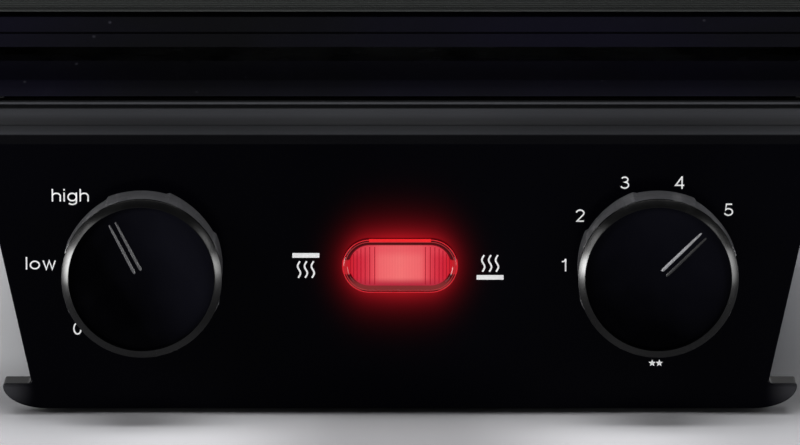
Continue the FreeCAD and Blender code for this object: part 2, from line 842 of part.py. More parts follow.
leg_places = spread(heater_legs, heater_pitch)
turn_radius = heater_pitch / 2
loop_front = frame_back + heater_front_gap + turn_radius
loop_rear = chamber_rear - heater_rear_gap - turn_radius
terminal_end = chamber_rear + sheet + heater_terminal


def heater(z):
    # one sheathed tube laid in even loops, with both ends through the rear wall
    edges = []
    start = V(leg_places[0], terminal_end, z)
    here = start
    for index, x in enumerate(leg_places):
        forward = index % 2 == 0
        turn_y = loop_front if forward else loop_rear
        last = index == len(leg_places) - 1
        leg_end = V(x, terminal_end if last else turn_y, z)
        edges.append(Part.makeLine(here, leg_end))
        if not last:
            outward = -turn_radius if forward else turn_radius
            here = V(x + heater_pitch, turn_y, z)
            edges.append(Part.Arc(leg_end, V(x + turn_radius, turn_y + outward, z), here).toShape())
    return swept_tube(Part.Wire(edges), start, V(0, 1, 0), heater_radius)


pieces["upper_heater"] = heater(upper_heater_axis)
pieces["lower_heater"] = heater(lower_heater_axis)

beads = []
for z in (lower_heater_axis, upper_heater_axis):
    for x in (leg_places[0], leg_places[-1]):
        nose_front = chamber_rear - bead_nose
        flange_rear = chamber_rear + sheet + bead_flange
        wall_rear = chamber_rear + sheet
        beads.append(turned_about_y([
            (heater_radius, nose_front), (bead_nose_radius, nose_front), (bead_nose_radius, wall_rear),
            (bead_flange_radius, wall_rear), (bead_flange_radius, flange_rear),
            (heater_radius, flange_rear)], x, z))
        chamber_back = chamber_back.cut(rod_y(x, chamber_rear, wall_rear, z, bead_nose_radius))
pieces["heater_beads"] = Part.makeCompound(beads)


def comb(y, x_half, z0, z1, axis):
    plate = block(-x_half, x_half, y - comb_thickness / 2, y + comb_thickness / 2, z0, z1)
    for x in leg_places:
        plate = plate.cut(rod_y(x, y - comb_thickness, y + comb_thickness, axis,
                                heater_radius + comb_clearance))
    return plate


comb_places = (-comb_spread, comb_spread)
pieces["upper_heater_hangers"] = Part.makeCompound([
    comb(y, chamber_half, upper_heater_axis - comb_lap, reflector_low, upper_heater_axis)
    for y in comb_places])
pieces["lower_heater_supports"] = Part.makeCompound([
    comb(y, chamber_half, lower_heater_axis - heater_radius - comb_depth,
         lower_heater_axis + comb_lap, lower_heater_axis)
    for y in comb_places])


# ---- Rails and runners --------------------------------------------------------------------

hook_low = carriage_top + rail_headroom
drawer_rail = section_along_y([
    (chamber_half, rail_low), (chamber_half, hook_low + sheet),
    (chamber_half - rail_hook, hook_low + sheet), (chamber_half - rail_hook, hook_low),
    (chamber_half - sheet, hook_low), (chamber_half - sheet, ledge_top),
    (chamber_half - rail_ledge, ledge_top), (chamber_half - rail_ledge, rail_low)],
    frame_back, carriage_rear)
pieces["drawer_rails"] = Part.makeCompound(both_sides(drawer_rail))

pan_rear = chamber_rear - tray_pan_rear_gap
tray_runner = block(chamber_half - tray_runner_width, chamber_half, frame_back, pan_rear, floor_top, tray_low)
pieces["tray_runners"] = Part.makeCompound(both_sides(tray_runner))


# ---- Controls ------------------------------------------------------------------------------

def knob_skirt(x, ridge_angle, way, front):
    # flat-sided facets, each falling the given way to end a step below the next one's crest
    crest = knob_radius + ridge_stand
    facet = 360 / ridge_count

    def rim_point(radius, angle):
        turn = math.radians(angle)
        return V(x + radius * math.cos(turn), front, knob_axis + radius * math.sin(turn))

    edges = []
    for index in range(ridge_count):
        start = ridge_angle + way * index * facet
        low_end = start + way * (facet - ridge_step_angle)
        facet_start = rim_point(crest, start)
        facet_middle = rim_point(crest - ridge_flat - ridge_step / 2, (start + low_end) / 2)
        facet_end = rim_point(crest - ridge_step, low_end)
        edges.append(Part.Arc(facet_start, facet_middle, facet_end).toShape())
        edges.append(Part.makeLine(facet_end, rim_point(crest, start + way * facet)))
    return Part.Face(Part.Wire(edges)).extrude(V(0, knob_back - front, 0))


def knob(x, pointer_angle, ridge_angle, way):
    face_edge = knob_front + knob_dish_depth
    face_middle = face_edge - knob_face_crown
    cavity_floor = face_edge + knob_face_wall
    cavity_radius = knob_radius - knob_wall
    rim_back = knob_front + knob_rim_depth
    face = [(share * knob_dish_radius, face_edge - (1 - share ** 2) * knob_face_crown)
            for share in knob_face_shares]
    core = turned_about_y(face + [
        (knob_dish_radius, knob_front),
        (knob_radius - knob_bevel, knob_front), (knob_radius, knob_front + knob_bevel),
        (knob_radius, rim_back), (0, rim_back)], x, knob_axis)
    skirt = knob_skirt(x, ridge_angle, way, rim_back)
    cavity = rod_y(x, cavity_floor, knob_back, knob_axis, cavity_radius)
    hub = rod_y(x, cavity_floor, hub_back, knob_axis, knob_hub_radius)
    bore = rod_y(x, shaft_front, hub_back, knob_axis, shaft_radius)
    bars = []
    for side in (-1, 1):
        middle = side * pointer_spacing / 2
        bar = block(pointer_inner, pointer_outer, face_middle - pointer_bar_height, cavity_floor,
                    middle - pointer_bar_width / 2, middle + pointer_bar_width / 2)
        bar.rotate(V(0, 0, 0), V(0, -1, 0), pointer_angle)
        bar.translate(V(x, 0, knob_axis))
        bars.append(bar)
    shell = joined([core, skirt]).cut(cavity)
    return joined([shell, hub] + bars).cut(bore)


def shaft(x):
    return rod_y(x, shaft_front, shaft_back, knob_axis, shaft_radius)


def control(x, width, depth, height, spades):
    # a switch body with a threaded bush and nut that clamp it to the panel
    body = upright_slab(x - width / 2, x + width / 2, knob_axis - height / 2, knob_axis + height / 2,
                        control_round, panel_back, panel_back + depth)
    bush = rod_y(x, nut_front, panel_back, knob_axis, bush_radius)
    nut = rod_y(x, nut_front, panel_front, knob_axis, bush_nut_radius)
    tabs = []
    for place in spread(spades, spade_spacing, x):
        tabs.append(block(place - spade_width / 2, place + spade_width / 2, panel_back + depth,
                          panel_back + depth + spade_length, knob_axis - spade_thickness / 2,
                          knob_axis + spade_thickness / 2))
    bore = rod_y(x, nut_front, shaft_back + running_clearance, knob_axis, shaft_radius + running_clearance)
    return joined([body, bush, nut] + tabs).cut(bore)


pieces["selector_knob"] = knob(-knob_offset, selector_pointer_angle, selector_ridge_angle, -1)
pieces["thermostat_knob"] = knob(knob_offset, thermostat_pointer_angle, thermostat_ridge_angle, 1)
pieces["selector_shaft"] = shaft(-knob_offset)
pieces["thermostat_shaft"] = shaft(knob_offset)
pieces["selector_switch"] = control(-knob_offset, switch_width, switch_depth, switch_height, 2)
pieces["thermostat_body"] = control(knob_offset, thermostat_width, thermostat_depth, thermostat_height, 2)

lens_head = stadium(0, lamp_axis, lens_length, lens_height, 0, panel_front - lens_stand, panel_front)
lens_head = lens_head.makeFillet(lens_round, edges_on_plane(lens_head, "Y", panel_front - lens_stand))
lens_body = stadium(0, lamp_axis, lens_length, lens_height, lens_shoulder, panel_front, panel_back)
pieces["lamp_lens"] = joined([lens_head, lens_body])
lamp_body = stadium(0, lamp_axis, lens_length, lens_height, 0, panel_back, panel_back + lamp_holder_depth)
lamp_tabs = [block(x - spade_width / 2, x + spade_width / 2, panel_back + lamp_holder_depth,
                   panel_back + lamp_holder_depth + spade_length,
                   lamp_axis - spade_thickness / 2, lamp_axis + spade_thickness / 2)
             for x in spread(2, spade_spacing)]
pieces["lamp_holder"] = joined([lamp_body] + lamp_tabs)

# ---- Appliance inlet and wiring parts ---------------------------------------------------------

socket_floor = pedestal_rear + inlet_flange_stand - socket_depth
inlet_front = socket_floor - inlet_back_wall


def inlet_slab(width, height, radius, y0, y1):
    return upright_slab(inlet_offset - width / 2, inlet_offset + width / 2,
                        inlet_axis - height / 2, inlet_axis + height / 2, radius, y0, y1)


pin_places = [(inlet_offset - pin_spread, inlet_axis - pin_rise), (inlet_offset, inlet_axis + pin_rise),
              (inlet_offset + pin_spread, inlet_axis - pin_rise)]
pins = [block(x - pin_width / 2, x + pin_width / 2, inlet_front - pin_tail, socket_floor + pin_length,
              z - pin_height / 2, z + pin_height / 2) for x, z in pin_places]
inlet = joined([
    inlet_slab(inlet_width, inlet_height, inlet_corner, inlet_front, pedestal_rear),
    inlet_slab(inlet_width + 2 * inlet_flange, inlet_height + 2 * inlet_flange, inlet_corner,
               pedestal_rear, pedestal_rear + inlet_flange_stand)])
inlet = inlet.cut(inlet_slab(socket_width, socket_height, inlet_corner, socket_floor,
                             pedestal_rear + inlet_flange_stand))
for pin in pins:
    inlet = inlet.cut(pin)
pieces["appliance_inlet"] = inlet
pieces["inlet_pins"] = Part.makeCompound(pins)
pieces["rear_fascia"] = rear_fascia

terminal_middle = housing_rear - terminal_rear_gap
terminal_block = block(-terminal_length / 2, terminal_length / 2, terminal_middle - terminal_width / 2,
                       terminal_middle + terminal_width / 2, cover_inside, cover_inside + terminal_height)
for x in spread(terminal_poles, terminal_length / terminal_poles):
    for y in spread(2, terminal_width / 2, terminal_middle):
        terminal_block = terminal_block.cut(rod_z(x, y, cover_inside + terminal_height / 2,
                                                  cover_inside + terminal_height, terminal_well))
pieces["terminal_block"] = terminal_block

fuse_y = chamber_rear + sheet + fuse_radius
fuse_z = reflector_low - fuse_drop
fuse_foot = block(-fuse_radius, fuse_radius, chamber_rear + sheet, fuse_y, fuse_z - fuse_radius,
                  fuse_z + fuse_tab)
pieces["thermal_fuse"] = joined([rod_x(-fuse_length / 2, fuse_length / 2, fuse_y, fuse_z, fuse_radius),
                                 fuse_foot])

bulb_y = chamber_rear - bulb_stand - bulb_radius
bulb_z = upper_heater_axis - bulb_drop
bulb_end = bulb_length / 2
pieces["thermostat_bulb"] = rod_x(-bulb_end, bulb_end, bulb_y, bulb_z, bulb_radius)
clips = []
for x in spread(2, clip_spread):
    clip_outer = bulb_radius + clip_wall
    ring = rod_x(x - clip_width / 2, x + clip_width / 2, bulb_y, bulb_z, clip_outer)
    foot = block(x - clip_width / 2, x + clip_width / 2, bulb_y, chamber_rear, bulb_z - clip_outer,
                 bulb_z + clip_outer)
    clips.append(joined([ring, foot]).cut(rod_x(x - clip_width, x + clip_width, bulb_y, bulb_z, bulb_radius)))
pieces["bulb_clips"] = Part.makeCompound(clips)
capillary_hole = rod_y(bulb_end + capillary_gap, chamber_rear, chamber_rear + sheet, bulb_z, capillary_radius)
pieces["chamber_back"] = chamber_back.cut(capillary_hole)


# ---- Vent and smoke filter -----------------------------------------------------------------------

collar = block(-vent_half, vent_half, vent_front, vent_rear, reflector_top, casing_top - sheet)
pieces["vent_collar"] = collar.cut(vent_passage)

skirt_half = vent_half - sheet - skirt_gap
skirt_front = vent_front + sheet + skirt_gap
skirt_rear = vent_rear - sheet - skirt_gap
skirt_low = casing_top - skirt_depth


def make_filter_cover():
    half, front, rear = vent_half + cover_margin, vent_front - cover_margin, vent_rear + cover_margin
    shell = slab(-half, half, front, rear, cover_radius, cover_low, cover_top)
    shell = shell.makeFillet(cover_round, edges_on_plane(shell, "Z", cover_top))
    shell = shell.cut(slab(-half + cover_wall, half - cover_wall, front + cover_wall, rear - cover_wall,
                           cover_radius - cover_wall, cover_low, cover_top - cover_wall))
    skirt = block(-skirt_half, skirt_half, skirt_front, skirt_rear, skirt_low, cover_top - cover_wall)
    skirt = skirt.cut(block(-skirt_half + skirt_wall, skirt_half - skirt_wall, skirt_front + skirt_wall,
                            skirt_rear - skirt_wall, skirt_low, cover_top - cover_wall))
    shell = joined([shell, skirt])
    slot_front, slot_rear = skirt_front + 2 * skirt_wall, skirt_rear - 2 * skirt_wall
    for x in spread(cover_slot_count, cover_slot_pitch):
        shell = shell.cut(slab(x - cover_slot_width / 2, x + cover_slot_width / 2, slot_front, slot_rear,
                               cover_slot_width / 2 - round_end_trim, cover_top - cover_wall, cover_top))
    return shell


def make_filter_mesh():
    half = skirt_half - skirt_wall
    front, rear = skirt_front + skirt_wall, skirt_rear - skirt_wall
    mesh = block(-half, half, front, rear, skirt_low, skirt_low + filter_thickness)
    pitch = filter_cell + filter_bar
    columns = int((2 * half - filter_bar) / pitch)
    rows = int((rear - front - filter_bar) / pitch)
    cells = []
    for x in spread(columns, pitch):
        for y in spread(rows, pitch, (front + rear) / 2):
            cells.append(block(x - filter_cell / 2, x + filter_cell / 2, y - filter_cell / 2,
                               y + filter_cell / 2, skirt_low, skirt_low + filter_thickness))
    return mesh.cut(Part.makeCompound(cells))


pieces["filter_cover"] = make_filter_cover()
pieces["filter_mesh"] = make_filter_mesh()


# ---- Net drawer -------------------------------------------------------------------------------------

window = (-door_half + window_side, door_half - window_side,
          door_frame_low + window_low, door_top - window_high)


def window_slab(grow, y0, y1):
    x0, x1, z0, z1 = window
    return upright_slab(x0 - grow, x1 + grow, z0 - grow, z1 + grow, window_radius + grow, y0, y1)


def make_door_frame():
    body = arch(door_half, door_frame_low, door_top, door_corner, door_front, door_back)
    body = body.makeChamfer(door_edge, [edge for edge in edges_on_plane(body, "Y", door_front)
                                        if edge.BoundBox.ZMax > door_frame_low + sheet])
    x0, x1, z0, z1 = window
    wide = upright_wire(x0 - window_bevel, x1 + window_bevel, z0 - window_bevel, z1 + window_bevel,
                        window_radius + window_bevel, door_front)
    narrow = upright_wire(x0, x1, z0, z1, window_radius, door_front + window_bevel)
    bevel = Part.makeLoft([wide, narrow], True, True)
    body = body.cut(bevel).cut(window_slab(0, door_front, door_back))
    return body.cut(window_slab(glass_lap, door_back - glass_thickness, door_back))


def make_door_rail():
    # a folded rail with one groove along its face
    groove_low = door_low + door_groove_rise
    groove_top = groove_low + door_groove_height
    groove_in = door_front + door_groove_depth
    rail = section_along_x([
        (door_front, door_low), (door_front, groove_low), (groove_in, groove_low),
        (groove_in, groove_top), (door_front, groove_top), (door_front, door_rail_top),
        (door_back, door_rail_top), (door_back, door_low)], -door_half, door_half)
    # the top is an open channel between its two end walls
    return rail.cut(block(-door_half + door_rail_wall, door_half - door_rail_wall,
                          door_front + door_rail_wall, door_back - door_rail_wall,
                          groove_top + door_rail_wall, door_rail_top))


pieces["door_frame"] = make_door_frame()
pieces["door_rail"] = make_door_rail()
strip = block(-door_half, door_half, door_front, door_back, strip_low, strip_top)
pieces["door_strip"] = strip.makeFillet(
    door_joint, [edge for edge in edges_on_plane(strip, "Y", door_front)
                 if edge.BoundBox.XLength > door_half])
pieces["door_glass"] = window_slab(glass_lap - glass_clearance, door_back - glass_thickness, door_back)
back_half = door_half - back_sheet_inset
back_sheet = upright_slab(-back_half, back_half, door_low, door_top - back_sheet_inset, door_corner / 2,
                          door_back, door_inside)
pieces["door_back_sheet"] = back_sheet.cut(window_slab(0, door_back, door_inside))

handle_axis = door_top - handle_drop
handle_rear = front_reach + handle_depth
handle = side_slab(front_reach, handle_rear, handle_axis - handle_height / 2,
                   handle_axis + handle_height / 2, handle_section_radius, -handle_half, handle_half)
handle_ends = edges_on_plane(handle, "X", -handle_half) + edges_on_plane(handle, "X", handle_half)
pieces["handle_bar"] = handle.makeFillet(handle_round, handle_ends)


def handle_post(x):
    ring = round_corner_wire(x - post_half_width, x + post_half_width, handle_axis - post_half_height,
                             handle_axis + post_half_height, post_radius, 0)
    ring.rotate(V(0, 0, 0), V(1, 0, 0), 90)
    ring.translate(V(0, handle_rear, 0))
    return Part.Face(ring).extrude(V(0, door_front - handle_rear, 0))


pieces["handle_posts"] = Part.makeCompound([handle_post(handle_half - post_inset),
                                            handle_post(post_inset - handle_half)])


def make_carriage():
    frame = slab(-carriage_half, carriage_half, door_inside, carriage_rear, carriage_corner,
                 carriage_low, carriage_top)
    hole_half = carriage_half - carriage_bar
    hole_front, hole_rear = door_inside + carriage_bar, carriage_rear - carriage_bar
    frame = frame.cut(slab(-hole_half, hole_half, hole_front, hole_rear, carriage_radius,
                           carriage_low, carriage_top))
    # the bars are pressed channels, open underneath
    gutter = slab(-carriage_half + carriage_wall, carriage_half - carriage_wall,
                  door_inside + carriage_wall, carriage_rear - carriage_wall, carriage_corner - carriage_wall,
                  carriage_low, carriage_top - carriage_wall)
    gutter = gutter.cut(slab(-hole_half - carriage_wall, hole_half + carriage_wall,
                             hole_front - carriage_wall, hole_rear + carriage_wall,
                             carriage_radius + carriage_wall, carriage_low, carriage_top))
    flange = upright_slab(-hole_half, hole_half, carriage_top - carriage_wall,
                          carriage_top + carriage_flange_height, carriage_corner, door_inside,
                          door_inside + carriage_wall)
    return joined([frame.cut(gutter), flange])


pieces["carriage_frame"] = make_carriage()


def make_net():
    # a border wire, ties across, and straight wires spot-welded on top
    path = round_corner_wire(-net_half, net_half, net_front, net_rear, net_corner, net_axis)
    middle_y = (net_front + net_rear) / 2
    border = swept_tube(path, V(net_half - net_corner, net_front, net_axis), V(1, 0, 0), net_border_radius)
    wires = []
    span = 2 * (net_half - net_corner)
    for x in spread(net_wire_count, span / (net_wire_count - 1)):
        wires.append(rod_y(x, net_front - net_wire_radius, net_rear + net_wire_radius,
                           net_wire_axis, net_wire_radius))
    tie_pitch = (net_rear - net_front) / (net_tie_count + 1)
    for y in spread(net_tie_count, tie_pitch, middle_y):
        wires.append(rod_x(-net_half, net_half, y, net_axis, net_tie_radius))
    return border.fuse(wires)


pieces["roasting_net"] = make_net()

# ---- Drip tray ------------------------------------------------------------------------------------------


def make_tray_pan():
    half = chamber_half - side_clearance
    front, rear = door_back, pan_rear
    inner = tray_rim + tray_pan_draft
    rim = slab(-half, half, front, rear, tray_pan_radius, pan_high - sheet, pan_high)
    mouth = round_corner_wire(-half + tray_rim, half - tray_rim, front + tray_rim, rear - tray_rim,
                              tray_pan_radius - tray_rim, pan_high)
    foot = round_corner_wire(-half + inner, half - inner, front + inner, rear - inner,
                             tray_pan_radius - tray_rim, pan_low)
    body = joined([rim, Part.makeLoft([foot, mouth], True, True)])
    grow = sheet
    inside_mouth = round_corner_wire(-half + tray_rim + grow, half - tray_rim - grow,
                                     front + tray_rim + grow, rear - tray_rim - grow,
                                     tray_pan_radius - tray_rim - grow, pan_high)
    inside_foot = round_corner_wire(-half + inner + grow, half - inner - grow, front + inner + grow,
                                    rear - inner - grow, tray_pan_radius - tray_rim - grow,
                                    pan_low + sheet)
    return body.cut(Part.makeLoft([inside_foot, inside_mouth], True, True))


pieces["tray_pan"] = make_tray_pan()

crease = tray_low + tray_crease_rise
pieces["tray_front"] = section_along_x([
    (door_front, tray_low), (door_front + tray_crease, crease), (door_front, tray_high),
    (door_back, tray_high), (door_back, tray_low)], -door_half, door_half)


# ---- Screws, each with its hole ----------------------------------------------------------------------------

screw_row = deck_top + screw_rise
casing_screws = []
for side in (-1, 1):
    for y in (chamber_front + screw_end_gap, (chamber_front + casing_rear) / 2, casing_rear - screw_end_gap):
        place = V(side * casing_half, y, screw_row)
        direction = V(side, 0, 0)
        casing_screws.append(pan_screw(place, direction))
        casing = casing.cut(screw_hole(place, direction))
for x in (-casing_half + screw_end_gap, 0, casing_half - screw_end_gap):
    for z in (screw_row, casing_top - screw_end_gap / 2):
        place = V(x, casing_rear, z)
        casing_screws.append(pan_screw(place, V(0, 1, 0)))
        rear_panel = rear_panel.cut(screw_hole(place, V(0, 1, 0)))
pieces["outer_casing"] = casing
pieces["rear_panel"] = rear_panel
pieces["casing_screws"] = Part.makeCompound(casing_screws)

downward = V(0, 0, -1)
pedestal_screws = []
for x in (-cover_half + pad_inset_x, 0, cover_half - pad_inset_x):
    for y in (housing_front + pedestal_screw_inset, housing_rear - pedestal_screw_inset):
        place = V(x, y, underside)
        pedestal_screws.append(pan_screw(place, downward))
        bottom_cover = bottom_cover.cut(screw_hole(place, downward))
pieces["bottom_cover"] = bottom_cover
pieces["pedestal_screws"] = Part.makeCompound(pedestal_screws)

backward = V(0, 1, 0)
door_screws = []
door_screw_rows = (door_low + door_screw_inset / 2, window[2] - door_screw_inset / 2,
                   window[3] + door_screw_inset)
for x in (door_screw_inset - back_half, back_half - door_screw_inset):
    for z in door_screw_rows:
        place = V(x, door_inside, z)
        door_screws.append(Part.makeCone(screw_head_radius, screw_crown_radius, door_seat_gap,
                                         place, backward))
pieces["door_screws"] = Part.makeCompound(door_screws)

# ---- Leads and the capillary -------------------------------------------------------------------------------

lead_z = cover_inside + lead_rise
block_front, block_rear = terminal_middle - terminal_width / 2, terminal_middle + terminal_width / 2
pole_places = spread(terminal_poles, terminal_length / terminal_poles)
channel_z = deck_bottom + (deck_edge + deck_rise - deck_wall) / 2

supply_leads = []
for (x, z), pole in zip(pin_places, pole_places):
    tail = inlet_front - pin_tail
    supply_leads.append(routed_tube([(x, tail, z), (x, tail - lead_run, z),
                                     (pole, block_rear + lead_run, lead_z), (pole, block_rear, lead_z)],
                                    lead_radius, lead_bend))
pieces["supply_leads"] = Part.makeCompound(supply_leads)


def control_lead(pole, x, rear, z):
    return routed_tube([(pole, block_front, lead_z), (pole, block_front - lead_run, lead_z),
                        (x, rear + 3 * lead_run, lead_z), (x, rear + lead_run, z), (x, rear, z)],
                       lead_radius, lead_bend)


switch_rear = panel_back + switch_depth + spade_length
thermostat_rear = panel_back + thermostat_depth + spade_length
lamp_rear = panel_back + lamp_holder_depth + spade_length
control_leads = []
for pole, offset in zip(pole_places[:2], spread(2, spade_spacing)):
    control_leads.append(control_lead(pole, offset - knob_offset, switch_rear, knob_axis))
for pole, offset in zip(pole_places[-2:], spread(2, spade_spacing)):
    control_leads.append(control_lead(pole, offset + knob_offset, thermostat_rear, knob_axis))
for pole, offset in zip(spread(2, 4 * lead_radius), spread(2, spade_spacing)):
    control_leads.append(control_lead(pole, offset, lamp_rear, lamp_axis))
pieces["control_leads"] = Part.makeCompound(control_leads)

capillary_rise, upper_rise, lower_rise = spread(3, loom_pitch, loom_middle - loom_shift)
heater_leads = []
for rise, axis, y in zip((lower_rise, upper_rise), (lower_heater_axis, upper_heater_axis),
                         spread(2, terminal_width / 2, terminal_middle)):
    lead = routed_tube([(terminal_length / 2, y, lead_z), (terminal_length / 2 + lead_run, y, lead_z),
                        (rise, loom_front, lead_z + lead_run), (rise, loom_front, channel_z),
                        (rise, loom_rear, channel_z), (rise, loom_rear, axis),
                        (leg_places[-1], loom_rear, axis), (leg_places[-1], terminal_end, axis)],
                       lead_radius, lead_bend)
    heater_leads += both_sides(lead)
pieces["heater_leads"] = Part.makeCompound(heater_leads)

thermostat_back = panel_back + thermostat_depth
capillary_start = knob_axis - thermostat_height / 4
pieces["capillary_tube"] = routed_tube([
    (capillary_rise, thermostat_back, capillary_start),
    (capillary_rise, thermostat_back + lead_run, capillary_start),
    (capillary_rise, loom_front, lead_z + 2 * lead_run), (capillary_rise, loom_front, channel_z),
    (capillary_rise, loom_rear, channel_z), (capillary_rise, loom_rear, bulb_z),
    (bulb_end + capillary_gap, loom_rear, bulb_z), (bulb_end + capillary_gap, bulb_y, bulb_z),
    (bulb_end, bulb_y, bulb_z)], capillary_radius, lead_bend)

for name, shape in pieces.items():
    shape.exportStep("parts/" + name + ".step")
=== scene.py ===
import json
import math

import bmesh
import bpy
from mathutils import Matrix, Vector


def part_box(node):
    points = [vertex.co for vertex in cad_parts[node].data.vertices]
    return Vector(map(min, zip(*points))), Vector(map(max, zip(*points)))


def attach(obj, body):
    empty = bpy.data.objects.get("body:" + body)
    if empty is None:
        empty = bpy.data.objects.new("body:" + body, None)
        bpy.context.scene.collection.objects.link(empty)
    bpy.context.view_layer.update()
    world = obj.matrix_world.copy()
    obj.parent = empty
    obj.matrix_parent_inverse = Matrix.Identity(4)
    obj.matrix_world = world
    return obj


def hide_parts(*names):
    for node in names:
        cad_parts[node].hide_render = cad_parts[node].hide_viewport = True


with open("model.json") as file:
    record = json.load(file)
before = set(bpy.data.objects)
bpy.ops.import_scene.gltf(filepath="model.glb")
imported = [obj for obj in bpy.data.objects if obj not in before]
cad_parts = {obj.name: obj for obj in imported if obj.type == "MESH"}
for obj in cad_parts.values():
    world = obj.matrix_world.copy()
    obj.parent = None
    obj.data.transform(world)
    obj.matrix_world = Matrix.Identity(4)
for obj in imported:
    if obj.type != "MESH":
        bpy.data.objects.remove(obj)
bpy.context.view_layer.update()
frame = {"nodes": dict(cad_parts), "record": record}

# an electric fish roaster, dressed for a soft studio: lengths in metres, +Z up, front towards -Y
mm = 0.001


def boxMiddle(node):
    low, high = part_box(node)
    return (low + high) / 2


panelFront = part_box("front_fascia")[0].y
knobAxes = {"selector": boxMiddle("selector_shaft"), "thermostat": boxMiddle("thermostat_shaft")}
lampMiddle = boxMiddle("lamp_lens")
lampLow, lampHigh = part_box("lamp_lens")
lampHalf = (lampHigh.x - lampLow.x) / 2
lampRound = (lampHigh.z - lampLow.z) / 2
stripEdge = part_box("door_strip")[0].z


# node helpers: a sum is (first, sign, second) or (operation, value, ...), with sums inside sums

signs = {"+": "ADD", "-": "SUBTRACT", "*": "MULTIPLY", "/": "DIVIDE", "^": "POWER"}


def put(tree, kind, sockets, **settings):
    # one node, whose sockets are given a value, a link or a sum
    node = tree.nodes.new(kind)
    for key, value in settings.items():
        setattr(node, key, value)
    for key, value in sockets.items():
        value = reckon(tree, value)
        if isinstance(value, bpy.types.NodeSocket):
            tree.links.new(value, node.inputs[key])
        else:
            node.inputs[key].default_value = value
    return node.outputs


def reckon(tree, value):
    if not (isinstance(value, tuple) and any(isinstance(item, str) for item in value)):
        return value
    if isinstance(value[0], str):
        operation, values = value[0].upper(), value[1:]
    else:
        operation, values = signs[value[1]], value[::2]
    return put(tree, "ShaderNodeMath", dict(enumerate(values)), operation=operation)["Value"]


def vectorOf(tree, x=0.0, y=0.0, z=0.0):
    return put(tree, "ShaderNodeCombineXYZ", {"X": x, "Y": y, "Z": z})["Vector"]


def partsOf(tree, vector):
    return put(tree, "ShaderNodeSeparateXYZ", {"Vector": vector})


def placeIn(tree):
    return put(tree, "GeometryNodeInputPosition", {})["Position"]


# materials, all from nodes that read Object coordinates

def newMaterial(name, colour, roughness, specular=0.5, metallic=0.0):
    material = bpy.data.materials.new(name)
    material.use_nodes = True
    sockets = shaderOf(material).inputs
    sockets["Base Color"].default_value = (*colour, 1)
    sockets["Roughness"].default_value = roughness
    sockets["Specular IOR Level"].default_value = specular
    sockets["Metallic"].default_value = metallic
    return material


def shaderOf(material):
    return material.node_tree.nodes["Principled BSDF"]


def join(material, source, socket):
    material.node_tree.links.new(source, shaderOf(material).inputs[socket])


def mathOf(material, value):
    return reckon(material.node_tree, value)


def objectPlace(material, stretch=(1, 1, 1), shift=(0, 0, 0)):
    tree = material.node_tree
    return put(tree, "ShaderNodeMapping", {
        "Vector": put(tree, "ShaderNodeTexCoord", {})["Object"], "Scale": stretch, "Location": shift})["Vector"]


def splitPlace(material, shift=(0, 0, 0)):
    return partsOf(material.node_tree, objectPlace(material, shift=shift))


def noiseOf(material, scale, stretch=(1, 1, 1), detail=3.0):
    return put(material.node_tree, "ShaderNodeTexNoise", {
        "Vector": objectPlace(material, stretch), "Scale": scale, "Detail": detail, "Roughness": 0.5})["Fac"]


def rangeOf(material, value, fromLow, fromHigh, toLow=0.0, toHigh=1.0, smooth=False):
    return put(material.node_tree, "ShaderNodeMapRange", {
        "Value": value, "From Min": fromLow, "From Max": fromHigh, "To Min": toLow, "To Max": toHigh},
        interpolation_type="SMOOTHSTEP" if smooth else "LINEAR")["Result"]


def blendOf(material, share, first, second, way="MIX"):
    first, second = ((*colour, 1) if isinstance(colour, tuple) else colour for colour in (first, second))
    return put(material.node_tree, "ShaderNodeMix", {"Factor": share, 6: first, 7: second},
               data_type="RGBA", blend_type=way)[2]


def rampOf(material, value, stops):
    tree = material.node_tree
    ramp = tree.nodes.new("ShaderNodeValToRGB")
    for index, (position, colour) in enumerate(stops):
        element = ramp.color_ramp.elements[index] if index < 2 else ramp.color_ramp.elements.new(position)
        element.position = position
        element.color = (*colour, 1)
    tree.links.new(value, ramp.inputs["Fac"])
    return ramp.outputs["Color"]


def paint(material, colour):
    join(material, colour, "Base Color")


def mottle(material, dark, light, scale, stretch=(1, 1, 1), middle=None):
    # slow change of colour over the surface
    stops = [(0.35, dark), (0.65, light)] + ([(0.5, middle)] if middle else [])
    colour = rampOf(material, noiseOf(material, scale, stretch), stops)
    paint(material, colour)
    return colour


def roughen(material, smooth, rough, scale, stretch=(1, 1, 1)):
    # handled and clean patches differ in sheen
    join(material, rangeOf(material, noiseOf(material, scale, stretch), 0.3, 0.7, smooth, rough), "Roughness")


def grain(material, scale, depth, strength=1.0, stretch=(1, 1, 1), detail=2.0):
    # fine relief: moulded texture, brushing or paint
    bump = put(material.node_tree, "ShaderNodeBump", {
        "Strength": strength, "Distance": depth, "Height": noiseOf(material, scale, stretch, detail)})
    join(material, bump["Normal"], "Normal")


def emit(material, colour, strength=1.0):
    sockets = shaderOf(material).inputs
    if isinstance(colour, tuple):
        sockets["Emission Color"].default_value = (*colour, 1)
    else:
        join(material, colour, "Emission Color")
    sockets["Emission Strength"].default_value = strength


